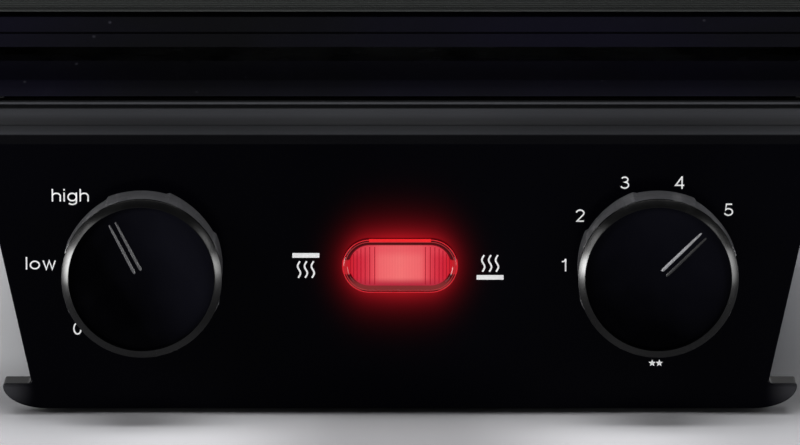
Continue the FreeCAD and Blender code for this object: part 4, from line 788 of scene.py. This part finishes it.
prism = put(ribTree, "GeometryNodeMeshCylinder", {"Vertices": 6, "Radius": 0.5, "Depth": 1.0})["Mesh"]
endTree(ribTree, entry, put(ribTree, "GeometryNodeInstanceOnPoints", {
    "Points": row, "Instance": prism,
    "Scale": vectorOf(ribTree, entry["ribWidth"], entry["ribWidth"], (halfUp, "*", 1.9))})["Instances"])


def makeLamp(spec):
    front = panelFront - spec["stand"]
    face = front + spec["faceDepth"]
    inset = spec["faceInset"]
    cap = stadiumLoft("lampCap", [
        (1.5 * mm, panelFront + 2.5 * mm), (1.5 * mm, panelFront), (0.0, panelFront), (0.0, front + 0.8 * mm),
        (0.2 * mm, front + 0.25 * mm), (0.6 * mm, front), (1.3 * mm, front),
        (1.8 * mm, front + 0.3 * mm), (inset, face + 0.5 * mm), (inset + 0.4 * mm, face + 1.2 * mm)], clearRedCap())
    diffuser = stadiumLoft("lampDiffuser", [
        (inset + 0.05 * mm, face + 1.0 * mm), (inset + 0.05 * mm, face + 0.2 * mm),
        (inset + 0.35 * mm, face)], litDiffuser())
    lineGlow = glowing("litLine", (0.30, 0.01, 0.015), (0.50, 0.008, 0.016))
    faintGlow = glowing("faintLine", (0.10, 0.003, 0.005), (0.34, 0.014, 0.018))
    straight = spec["lineStraight"]
    outer = stadiumLine("lampOuterLine", spec["lineInset"], front + 0.15 * mm, 0.16 * mm, straight, lineGlow)
    second = stadiumLine("lampSecondLine", spec["secondLine"], front + 0.05 * mm, 0.15 * mm, straight, faintGlow)
    barRings = [[(lampMiddle.x + end * (spec["barHalf"] - trim * mm), front - depth * mm,
                  lampHigh.z - 0.02 * mm - trim * 0.5 * mm - drop * spec["barHeight"])
                 for depth, drop in spec["barSection"]] for end, trim in spec["barEnds"]]
    barGlow = glowing("litBar", (0.3, 0.006, 0.008), (0.66, 0.014, 0.018), 0.3, 0.1)
    bar = meshPiece("lampTopBar", *closedLoft(barRings), barGlow)
    ribs = growPiece("lampPrismRibs", ribTree, bpy.data.meshes.new("ribs"), {
        **spec, "middle": (lampMiddle.x, face, lampMiddle.z), "straight": lampHalf - lampRound,
        "halfHeight": lampRound - inset - 0.1 * mm,
        "finish": glowing("ribShade", (0.1, 0.003, 0.006), (0.30, 0.004, 0.016), 0.3, 0.05)}, smooth=False)
    for piece in (cap, diffuser, outer, second, bar, ribs):
        wear(piece, "root", "lamp_red")
    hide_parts("lamp_lens")


makeLamp(lampSpec)
print("pilot lamp made")


# printed marks: figures and words drawn as even strokes, heat signs and a small pair of stars

marksSpec = {
    "height": 4.1 * mm,        # of a figure
    "weight": 0.12,            # stroke, as a share of the height
    "thickness": 0.05 * mm,
    "gap": 0.235,              # between letters
    "words": [                 # text, left end, right end, baseline
        ("high", -111.4 * mm, -99.5 * mm, 69.6 * mm),
        ("low", -119.9 * mm, -110.2 * mm, 47.5 * mm),
        ("0", -104.9 * mm, -102.1 * mm, 26.2 * mm),
        ("1", 51.6 * mm, 53.3 * mm, 46.9 * mm),
        ("2", 56.2 * mm, 59.1 * mm, 63.0 * mm),
        ("3", 70.4 * mm, 73.3 * mm, 73.7 * mm),
        ("4", 87.9 * mm, 91.1 * mm, 73.7 * mm),
        ("5", 103.6 * mm, 106.6 * mm, 64.9 * mm),
    ],
    "stars": [(81.0 * mm, 16.95 * mm), (83.3 * mm, 16.95 * mm)],
    "starRadius": 1.22 * mm,
}
signSpec = {
    "barLength": 8.65 * mm,
    "barHeight": 1.5 * mm,
    "waveRise": 5.4 * mm,
    "waveSway": 0.44 * mm,
    "waveGap": 2.2 * mm,
    "waveWidth": 0.56 * mm,
    "signs": [                 # middle, bar's middle height, waves' middle height
        (-30.15 * mm, 52.1 * mm, 47.5 * mm),
        (28.87 * mm, 44.95 * mm, 49.5 * mm),
    ],
}


def arc(x, z, halfWide, halfHigh, start, end, steps=20):
    points = []
    for index in range(steps + 1):
        turn = math.radians(start + (end - start) * index / steps)
        points.append((x + halfWide * math.cos(turn), z + halfHigh * math.sin(turn)))
    return points


def glyphs():
    # centre lines on a figure of unit height
    stem = [(0, 0), (0, 1)]
    return {
        "l": [stem],
        "i": [[(0, 0), (0, 0.72)], [(0, 0.87), (0, 1.0)]],
        "h": [stem, arc(0.235, 0.43, 0.235, 0.225, 180, 0) + [(0.47, 0)]],
        "g": [arc(0.25, 0.36, 0.25, 0.295, 90, 450, 32),
              [(0.50, 0.72), (0.50, -0.03)] + arc(0.26, -0.03, 0.24, 0.19, 0, -150, 14)[1:]],
        "o": [arc(0.27, 0.36, 0.27, 0.295, 90, 450, 32)],
        "w": [[(0, 0.72), (0.185, 0.03), (0.365, 0.69), (0.545, 0.03), (0.73, 0.72)]],
        "0": [arc(0.24, 0.5, 0.24, 0.435, 90, 450, 36)],
        "1": [[(0.25, 0), (0.25, 1)], [(0.25, 0.97), (0.20, 0.85), (0.11, 0.785), (0.0, 0.765)]],
        "2": [arc(0.25, 0.70, 0.245, 0.235, 170, -32, 20) + [(0.05, 0.065), (0.50, 0.065)]],
        "3": [arc(0.245, 0.735, 0.20, 0.20, 155, -90, 18) + arc(0.245, 0.30, 0.245, 0.235, 90, -160, 20)[1:]],
        "4": [[(0.42, 0), (0.42, 1.0)], [(0.42, 0.96), (0.04, 0.29), (0.55, 0.29)]],
        "5": [[(0.47, 0.935), (0.13, 0.935), (0.085, 0.50)] + arc(0.25, 0.325, 0.245, 0.26, 128, -160, 20)],
    }


def ribbon(sheet, points, width):
    # a flat band of even width along a line, mitred where it bends
    rows = []
    for index, point in enumerate(points):
        point = Vector(point)
        before = Vector(points[max(index - 1, 0)])
        after = Vector(points[min(index + 1, len(points) - 1)])
        if (Vector(points[0]) - Vector(points[-1])).length < 1e-9 and index in (0, len(points) - 1):
            before, after = Vector(points[-2]), Vector(points[1])
        runs = [run.normalized() for run in (point - before, after - point) if run.length > 1e-12]
        run = sum(runs, Vector((0, 0))).normalized()
        stretch = min(1 / max(run.dot(runs[0]), 0.3), 2.2)
        across = Vector((-run.y, run.x)) * width / 2 * stretch
        rows.append([sheet.verts.new((p.x, 0, p.y)) for p in (point + across, point - across)])
    for low, high in zip(rows, rows[1:]):
        sheet.faces.new((low[0], low[1], high[1], high[0]))


def wordSheet(word, left, right, baseline):
    strokes, x = [], 0.0
    for letter in word:
        paths = glyphShapes[letter]
        low = min(p[0] for path in paths for p in path)
        high = max(p[0] for path in paths for p in path)
        strokes += [[(p[0] - low + x, p[1]) for p in path] for path in paths]
        x += high - low + marksSpec["gap"]
    weight = marksSpec["weight"] * marksSpec["height"]
    wide = max(p[0] for path in strokes for p in path)
    grow = (right - left - weight) / wide
    sheet = bmesh.new()
    for path in strokes:
        line = [(left + weight / 2 + px * grow, baseline + pz * marksSpec["height"]) for px, pz in path]
        ribbon(sheet, line, weight)
    return sheet


def heatSign(x, barZ, waveZ, spec):
    sheet = bmesh.new()
    half = spec["barLength"] / 2
    ribbon(sheet, [(x - half, barZ), (x + half, barZ)], spec["barHeight"])
    for place in (-1, 0, 1):
        wave = []
        for index in range(25):
            t = index / 24
            sway = spec["waveSway"] * math.sin(2.4 * math.pi * (t - 0.08))
            wave.append((x + place * spec["waveGap"] + sway, waveZ + (t - 0.5) * spec["waveRise"]))
        ribbon(sheet, wave, spec["waveWidth"])
    return sheet


def starSheet(x, z):
    sheet = bmesh.new()
    middle = sheet.verts.new((x, 0, z))
    points = []
    for index in range(10):
        turn = math.radians(90 + 36 * index)
        reach = marksSpec["starRadius"] * (1.0 if index % 2 == 0 else 0.45)
        points.append(sheet.verts.new((x + reach * math.cos(turn), 0, z + reach * math.sin(turn))))
    for index in range(10):
        sheet.faces.new((middle, points[index], points[(index + 1) % 10]))
    return sheet


def flatPrint(name, sheets, body="root"):
    # thin ink: the faces stand a little proud of the panel, with their backs on it
    whole = bmesh.new()
    for sheet in sheets:
        mesh = bpy.data.meshes.new("sheet")
        sheet.to_mesh(mesh)
        sheet.free()
        whole.from_mesh(mesh)
    bmesh.ops.remove_doubles(whole, verts=whole.verts, dist=1e-7)
    run = bmesh.ops.extrude_face_region(whole, geom=whole.faces[:])
    for item in run["geom"]:
        if isinstance(item, bmesh.types.BMVert):
            item.co.y -= marksSpec["thickness"]
    for v in whole.verts:
        v.co.y += panelFront
    mesh = bpy.data.meshes.new(name)
    whole.to_mesh(mesh)
    whole.free()
    tidyMesh(mesh, smooth=False)
    wear(stand(name, mesh, ink), body, "pale_plastic")


def markInk():
    material = newMaterial("markInk", (0.90, 0.90, 0.90), 0.45, 0.4)
    mottle(material, (0.88, 0.88, 0.88), (0.93, 0.93, 0.93), 800.0)
    grain(material, 5000.0, 0.00001, 0.3)
    # the ink also glows faintly: painted light that keeps the marks bright
    emit(material, (1, 1, 1), 0.2)
    return material


ink = markInk()
glyphShapes = glyphs()
flatPrint("dialMarks", [wordSheet(*word) for word in marksSpec["words"]])
flatPrint("heatSigns", [heatSign(*sign, signSpec) for sign in signSpec["signs"]])
flatPrint("starSign", [starSheet(*star) for star in marksSpec["stars"]])
print("marks and signs printed")


# smaller pieces: strip ridges, screws, feet, filter weave, window print and net welds

def islandBoxes(node):
    # boxes of the separate solids in one node
    shell = bmesh.new()
    shell.from_mesh(frame["nodes"][node].data)
    bmesh.ops.remove_doubles(shell, verts=shell.verts, dist=1e-6)
    boxes, seen = [], set()
    for seed in shell.verts:
        if seed in seen:
            continue
        group, stack = [], [seed]
        seen.add(seed)
        while stack:
            vert = stack.pop()
            group.append(vert.co)
            for edge in vert.link_edges:
                other = edge.other_vert(vert)
                if other not in seen:
                    seen.add(other)
                    stack.append(other)
        boxes.append((Vector([min(c[i] for c in group) for i in range(3)]),
                      Vector([max(c[i] for c in group) for i in range(3)])))
    shell.free()
    return boxes


ridgeTree, entry = newTree("stripRidges", {
    "start": "Vector", "ridges": "Int", "pitch": "Float", "length": "Float", "radius": "Float"})
row = put(ridgeTree, "GeometryNodeMeshLine", {
    "Count": entry["ridges"], "Start Location": entry["start"],
    "Offset": vectorOf(ridgeTree, z=entry["pitch"])})["Mesh"]
rod = put(ridgeTree, "GeometryNodeMeshCylinder", {
    "Vertices": 12, "Radius": entry["radius"], "Depth": entry["length"]})["Mesh"]
endTree(ridgeTree, entry, put(ridgeTree, "GeometryNodeInstanceOnPoints", {
    "Points": row, "Instance": rod, "Rotation": (0, math.pi / 2, 0)})["Instances"])

stripSpec = {"ridges": 9, "pitch": 0.66 * mm, "radius": 0.2 * mm, "stand": 0.12 * mm, "foot": 0.35 * mm}


def makeStripRidges(spec):
    low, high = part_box("door_strip")
    ridges = growPiece("stripRidges", ridgeTree, bpy.data.meshes.new("ridges"), {
        **spec, "start": (0.0, low.y + spec["radius"] - spec["stand"], low.z + spec["foot"]),
        "length": high.x - low.x - 1.0 * mm, "finish": nodeFinishes["door_strip"]})
    wear(ridges, "net_drawer", "dark_steel")


makeStripRidges(stripSpec)


screwSpec = {
    "profile": ((1.0, 0.0), (1.0, 0.45), (0.9, 0.78), (0.66, 1.0)),
    "sides": 20,
    "crossArm": 0.46,
    "crossHalf": 0.12,
    "crossDepth": 0.5,
    "crossTaper": 0.8,
    "casingHead": 1.8 * mm,
    "doorHead": 1.15 * mm,
    "pedestalHead": 1.8 * mm,
    "sideFrom": 151 * mm,      # screws further out than this face sideways
}


def ringFaces(shell, low, high):
    for k in range(len(low)):
        ahead = (k + 1) % len(low)
        shell.faces.new((low[k], low[ahead], high[ahead], high[k]))


def crossHead(spec):
    # a pan head of unit radius and height with a cross recess
    shell = bmesh.new()
    rings = [[shell.verts.new(place) for place in ring] for ring in unitRings(spec["profile"], spec["sides"])]
    for low, high in zip(rings, rings[1:]):
        ringFaces(shell, low, high)
    shell.faces.new(rings[0])
    arm, half, taper = spec["crossArm"], spec["crossHalf"], spec["crossTaper"]
    outline = []
    for quarter in range(4):
        turn = math.pi / 2 * quarter
        for x, y in ((arm, -half), (arm, half), (half, half)):
            outline.append((x * math.cos(turn) - y * math.sin(turn), x * math.sin(turn) + y * math.cos(turn)))
    top = [shell.verts.new((x, y, 1.0)) for x, y in outline]
    foot = [shell.verts.new((x * taper, y * taper, 1.0 - spec["crossDepth"])) for x, y in outline]
    ringFaces(shell, top, foot)
    shell.faces.new(foot)
    edges = [shell.edges.get((loop[k], loop[(k + 1) % len(loop)]))
             for loop in (rings[-1], top) for k in range(len(loop))]
    bmesh.ops.triangle_fill(shell, edges=edges, use_beauty=True)
    bmesh.ops.recalc_face_normals(shell, faces=shell.faces)
    mesh = bpy.data.meshes.new("crossHead")
    shell.to_mesh(mesh)
    shell.free()
    return stand("crossHead", mesh)


def makeScrews(node, body, name, aimOf, headHeight):
    places, aims, sizes = [], [], []
    for low, high in islandBoxes(node):
        aim = Vector(aimOf(low, high))
        middle, half = (low + high) / 2, (high - low) / 2
        reach = abs(half.dot(aim))
        radius = max(h for h, a in zip(half, aim) if abs(a) < 0.5)
        places.append(tuple(middle + aim * (reach - headHeight)))
        aims.append(tuple(aim))
        sizes.append((radius, radius, headHeight))
    screws = scatter(name, crossScrew, places, aims, sizes, finishes["dark_steel"])
    wear(screws, body, "dark_steel")
    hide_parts(node)


def casingAim(low, high):
    if max(abs(low.x), abs(high.x)) > screwSpec["sideFrom"]:
        return (math.copysign(1, low.x), 0, 0)
    return (0, 1, 0)


crossScrew = crossHead(screwSpec)
makeScrews("casing_screws", "root", "casingScrews", casingAim, screwSpec["casingHead"])
makeScrews("door_screws", "net_drawer", "doorScrews", lambda low, high: (0, 1, 0), screwSpec["doorHead"])
makeScrews("pedestal_screws", "root", "pedestalScrews", lambda low, high: (0, 0, -1), screwSpec["pedestalHead"])
bpy.data.objects.remove(crossScrew)
print("screws made")


footSpec = {"rings": 4, "groove": 0.45 * mm, "pad": 2.0 * mm, "least": 0.2 * mm, "segments": 48}


def makeFeet(spec):
    # rubber pads with ring grooves underneath
    pad, groove = spec["pad"], spec["groove"]
    vertices, faces = [], []
    for low, high in islandBoxes("rubber_feet"):
        middle, radius = (low + high) / 2, (high.x - low.x) / 2
        profile = [(radius * 0.3, high.z - 0.3 * mm), (radius * 0.34, pad + 0.3 * mm), (radius * 0.34, pad),
                   (radius - 0.6 * mm, pad), (radius, pad - 0.5 * mm), (radius - 0.9 * mm, 0.25 * mm),
                   (radius - 1.3 * mm, 0.0)]
        for ring in range(spec["rings"]):
            reach = (radius - 2.0 * mm) * (1 - ring / spec["rings"])
            profile += [(reach, 0.0), (reach - 0.25 * mm, groove), (reach - 0.75 * mm, groove),
                        (reach - 1.0 * mm, 0.0)]
        kept = [(r, z) for r, z in profile if r > spec["least"]]
        rings = [[(middle.x + x, middle.y + y, z) for x, y, z in ring] for ring in unitRings(kept, spec["segments"])]
        padVertices, padFaces = closedLoft(rings)
        faces += [tuple(len(vertices) + index for index in face) for face in padFaces]
        vertices += padVertices
    feet = meshPiece("rubberPads", vertices, faces, finishes["rubber"])
    wear(feet, "root", "rubber", "rubber_feet")


makeFeet(footSpec)


# woven wire over the filter's bars

weaveTree, entry = newTree("wovenWire", {
    "middle": "Vector", "across": "Float", "deep": "Float", "pitch": "Float", "wire": "Float"})
wholes = []
for long, wide, turnBy, way in ((entry["across"], entry["deep"], 0.0, 1.0),
                                (entry["deep"], entry["across"], math.pi / 2, -1.0)):
    count = reckon(weaveTree, ("floor", (wide, "/", entry["pitch"])))
    halfLong = reckon(weaveTree, (long, "/", 2.0))
    line = put(weaveTree, "GeometryNodeCurvePrimitiveLine", {
        "Start": vectorOf(weaveTree, (halfLong, "*", -1.0)), "End": vectorOf(weaveTree, halfLong)})["Curve"]
    line = put(weaveTree, "GeometryNodeResampleCurve", {
        "Curve": line, "Count": (("floor", (long, "/", entry["pitch"])), "*", 2.0)})["Curve"]
    row = put(weaveTree, "GeometryNodeMeshLine", {
        "Count": count, "Offset": vectorOf(weaveTree, y=entry["pitch"]),
        "Start Location": vectorOf(weaveTree, y=((count, "-", 1.0), "*", (entry["pitch"], "*", -0.5)))})["Mesh"]
    wires = put(weaveTree, "GeometryNodeInstanceOnPoints", {"Points": row, "Instance": line})["Instances"]
    wires = put(weaveTree, "GeometryNodeRealizeInstances", {"Geometry": wires})["Geometry"]
    spot = partsOf(weaveTree, placeIn(weaveTree))
    wave = ("sine", (((spot["X"], "+", spot["Y"]), "/", entry["pitch"]), "*", math.pi))
    wires = put(weaveTree, "GeometryNodeSetPosition", {
        "Geometry": wires, "Offset": vectorOf(weaveTree, z=((wave, "*", entry["wire"]), "*", way))})["Geometry"]
    section = put(weaveTree, "GeometryNodeCurvePrimitiveCircle", {"Resolution": 5, "Radius": entry["wire"]})["Curve"]
    wires = put(weaveTree, "GeometryNodeCurveToMesh", {
        "Curve": wires, "Profile Curve": section, "Fill Caps": True})["Mesh"]
    wholes.append(put(weaveTree, "GeometryNodeTransform", {
        "Geometry": wires, "Rotation": (0, 0, turnBy), "Translation": entry["middle"]})["Geometry"])
both = weaveTree.nodes.new("GeometryNodeJoinGeometry")
for wires in wholes:
    weaveTree.links.new(wires, both.inputs["Geometry"])
endTree(weaveTree, entry, both.outputs["Geometry"])

weaveSpec = {"pitch": 1.6 * mm, "wire": 0.22 * mm, "margin": 2.4 * mm, "sink": 0.6 * mm}


def makeWeave(spec):
    low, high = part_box("filter_mesh")
    middle = (low + high) / 2
    weave = growPiece("filterWeave", weaveTree, bpy.data.meshes.new("weave"), {
        **spec, "middle": (middle.x, middle.y, high.z - spec["sink"]), "across": high.x - low.x - spec["margin"],
        "deep": high.y - low.y - spec["margin"], "finish": finishes["galvanised"]})
    wear(weave, "smoke_filter", "galvanised")


makeWeave(weaveSpec)
print("filter weave made")


# dots printed round the window's glass, smaller towards its clear middle

windowSpec = {"inset": 6.3 * mm, "pitch": 1.7 * mm, "border": 5.2 * mm, "dot": 0.8 * mm, "ink": 0.02 * mm,
              "stand": 0.012 * mm}
dotTree, entry = newTree("windowDots", {
    "middle": "Vector", "across": "Float", "high": "Float", "pitch": "Float", "border": "Float", "dot": "Float"})
net = put(dotTree, "GeometryNodeMeshGrid", {
    "Size X": entry["across"], "Vertices X": ("floor", (entry["across"], "/", entry["pitch"])),
    "Size Y": entry["high"], "Vertices Y": ("floor", (entry["high"], "/", entry["pitch"]))})["Mesh"]
spot = partsOf(dotTree, placeIn(dotTree))
depth = reckon(dotTree, ("minimum", ((entry["across"], "*", 0.5), "-", ("absolute", spot["X"])),
                         ((entry["high"], "*", 0.5), "-", ("absolute", spot["Y"]))))
stored = put(dotTree, "GeometryNodeStoreNamedAttribute", {
    "Geometry": net, "Name": "share", "Value": (1.0, "-", (depth, "/", (entry["border"], "*", 1.35)))},
    data_type="FLOAT", domain="POINT")["Geometry"]
kept = put(dotTree, "GeometryNodeDeleteGeometry", {
    "Geometry": put(dotTree, "GeometryNodeMeshToPoints", {"Mesh": stored})["Points"],
    "Selection": ("greater_than", depth, entry["border"])}, domain="POINT")["Geometry"]
named = put(dotTree, "GeometryNodeInputNamedAttribute", {"Name": "share"}, data_type="FLOAT")["Attribute"]
disc = put(dotTree, "GeometryNodeMeshCylinder", {
    "Vertices": 8, "Radius": entry["dot"], "Depth": windowSpec["ink"]})["Mesh"]
laid = put(dotTree, "GeometryNodeInstanceOnPoints", {
    "Points": kept, "Instance": disc, "Scale": vectorOf(dotTree, named, named, 1.0)})["Instances"]
laid = put(dotTree, "GeometryNodeRealizeInstances", {"Geometry": laid})["Geometry"]
endTree(dotTree, entry, put(dotTree, "GeometryNodeTransform", {
    "Geometry": laid, "Rotation": (math.pi / 2, 0, 0), "Translation": entry["middle"]})["Geometry"])


def makeWindowDots(spec):
    low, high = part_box("door_glass")
    middle = (low + high) / 2
    dots = growPiece("windowDots", dotTree, bpy.data.meshes.new("dots"), {
        **spec, "middle": (middle.x, low.y - spec["stand"], middle.z), "across": high.x - low.x - 2 * spec["inset"],
        "high": high.z - low.z - 2 * spec["inset"], "finish": shadeAndPrint}, smooth=False)
    wear(dots, "net_drawer", "satin_black")


makeWindowDots(windowSpec)
print("window dots printed")


# spot welds where the net's wires cross its ties and border

weldSpec = {"wires": 21, "ties": 2, "wire": 1.0 * mm, "border": 1.6 * mm, "corner": 12.0 * mm, "sink": 0.05 * mm,
            "size": (1.15 * mm, 1.15 * mm, 0.55 * mm), "profile": ((0.6, -0.8), (1.0, 0.0), (0.6, 0.8))}


def makeWelds(spec):
    low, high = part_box("roasting_net")
    bead = meshPiece("bead", *closedLoft(unitRings(spec["profile"], 8)), None)
    first = low.x + spec["border"] + spec["corner"]
    columns = [first * (1 - 2 * k / (spec["wires"] - 1)) for k in range(spec["wires"])]
    rows = [low.y + spec["border"], high.y - spec["border"]]
    gap = (rows[1] - rows[0]) / (spec["ties"] + 1)
    rows += [rows[0] + gap * (k + 1) for k in range(spec["ties"])]
    height = high.z - 2 * spec["wire"] - spec["sink"]
    places = [(x, y, height) for x in columns for y in rows]
    welds = scatter("netWelds", bead, places, [(0, 0, 1)] * len(places), [spec["size"]] * len(places),
                    finishes["net_chrome"])
    bpy.data.objects.remove(bead)
    wear(welds, "net", "net_chrome")


makeWelds(weldSpec)
print("net welds made")


# studio: pale floor, soft lights, camera

studioSpec = {
    "floorPlain": (0.46, 0.46, 0.475),
    # floor tones near the object are painted light and shade: a painted shadow under its middle, painted light beside
    # it and behind on the left, painted shade behind on the right
    "floorFront": (0.46, 0.46, 0.48),
    "floorPaintedShadow": (0.36, 0.36, 0.375),
    "floorPaintedLightBeside": (0.64, 0.64, 0.665),
    "floorPaintedLightBackLeft": (0.78, 0.785, 0.81),
    "floorPaintedShadeBackRight": (0.41, 0.415, 0.44),
    "cloud": (0.25, 0.25, 0.25),
    "leftToRight": (-0.12, 0.12),          # where one tone of the floor gives way to the next
    "middleToBeside": (0.015, 0.065),
    "besideToOuter": (0.07, 0.115),
    "underToFront": (-0.19, -0.25),
    "underToBack": (-0.13, -0.04),
    "nearToFar": (0.25, 0.48),
    "horizon": 0.42,
    "zenith": 0.10,
    "skyRise": 0.75,
    "lights": [                # place, aim, width, height, brightness
        ("leftHigh", (-0.55, -0.58, 0.32), (-0.02, -0.15, 0.05), 0.24, 0.22, 8.0),
        ("rightHigh", (0.55, -0.58, 0.32), (0.02, -0.15, 0.05), 0.20, 0.20, 6.0),
        ("overhead", (0.0, -0.16, 1.5), (0.0, -0.16, 0.0), 1.6, 0.62, 8.0),
        ("behindLeft", (-0.9, 0.7, 1.0), (-0.25, 0.12, 0.0), 0.5, 0.5, 5.0),
    ],
    "cards": [                 # low cards at both sides, narrow in spread and seen only in gloss
        ("leftCard", (-0.26, -0.31, 0.049), (0.0, -0.16, 0.049), 0.21, 0.096, 75.0),
        ("rightCard", (0.26, -0.31, 0.049), (0.0, -0.16, 0.049), 0.21, 0.096, 27.0),
    ],
    "cardSpread": 40,          # degrees
}


def paleFloor(spec):
    # plain pale further out; near the object the tones are painted light and shade
    material = newMaterial("paleFloor", spec["floorPlain"], 0.8, 0.0)
    place = splitPlace(material)

    def change(value, band, first, second):
        return blendOf(material, rangeOf(material, value, *spec[band], smooth=True), first, second)

    behind = change(place["X"], "leftToRight", spec["floorPaintedLightBackLeft"], spec["floorPaintedShadeBackRight"])
    out = mathOf(material, ("absolute", place["X"]))
    before = change(out, "middleToBeside", spec["floorPaintedShadow"], spec["floorPaintedLightBeside"])
    before = change(out, "besideToOuter", before, spec["floorFront"])
    before = change(place["Y"], "underToFront", before, spec["floorFront"])
    tone = change(place["Y"], "underToBack", before, behind)
    reach = put(material.node_tree, "ShaderNodeVectorMath", {0: objectPlace(material)}, operation="LENGTH")["Value"]
    tone = change(reach, "nearToFar", tone, spec["floorPlain"])
    cloud = rangeOf(material, noiseOf(material, 3.0), 0.3, 0.7, 0.0, 0.06)
    paint(material, blendOf(material, cloud, tone, spec["cloud"]))
    grain(material, 60.0, 0.0002, 0.05)
    return material


floor = meshPiece("studioFloor", [(-6, -6, 0), (6, -6, 0), (6, 6, 0), (-6, 6, 0)], [(0, 1, 2, 3)],
                  paleFloor(studioSpec), smooth=False)


def softLight(name, place, target, width, height, brightness, spread=180):
    # brightness is what is seen straight into the light, and a spread under 180 makes it a card
    light = bpy.data.lights.new(name, "AREA")
    light.shape = "RECTANGLE"
    light.size = width
    light.size_y = height
    light.energy = brightness * math.pi * width * height
    if spread < 180:
        half = math.radians(spread) / 2
        light.spread = 2 * half
        light.energy *= 1 - half / math.tan(half)
    thing = bpy.data.objects.new(name, light)
    bpy.context.scene.collection.objects.link(thing)
    thing.location = place
    thing.rotation_euler = (Vector(target) - Vector(place)).to_track_quat("-Z", "Y").to_euler()
    thing.visible_camera = False
    thing.visible_diffuse = spread == 180


for light in studioSpec["lights"]:
    softLight(*light)
for card in studioSpec["cards"]:
    softLight(*card, spread=studioSpec["cardSpread"])

world = bpy.data.worlds.new("studioWorld")
bpy.context.scene.world = world
world.use_nodes = True
sky = world.node_tree
rise = partsOf(sky, put(sky, "ShaderNodeTexCoord", {})["Generated"])["Z"]
fade = rangeOf(world, rise, 0.0, studioSpec["skyRise"], studioSpec["horizon"], studioSpec["zenith"])
sky.links.new(fade, sky.nodes["Background"].inputs["Color"])

cameraSpec = {"distance": 2.0, "elevation": 10.0, "lens": 281.25, "aimHeight": 62.8 * mm}


def placeCamera(spec):
    data = bpy.data.cameras.new("camera")
    data.lens = spec["lens"]
    data.sensor_width = 36.0
    data.clip_start = 0.05
    data.clip_end = 30.0
    thing = bpy.data.objects.new("camera", data)
    bpy.context.scene.collection.objects.link(thing)
    aimPoint = Vector((0, panelFront, spec["aimHeight"]))
    lift = math.radians(spec["elevation"])
    thing.location = aimPoint + spec["distance"] * Vector((0, -math.cos(lift), math.sin(lift)))
    thing.rotation_euler = (aimPoint - thing.location).to_track_quat("-Z", "Y").to_euler()
    bpy.context.scene.camera = thing


placeCamera(cameraSpec)
bpy.context.scene.view_settings.view_transform = "Standard"
print("studio ready")
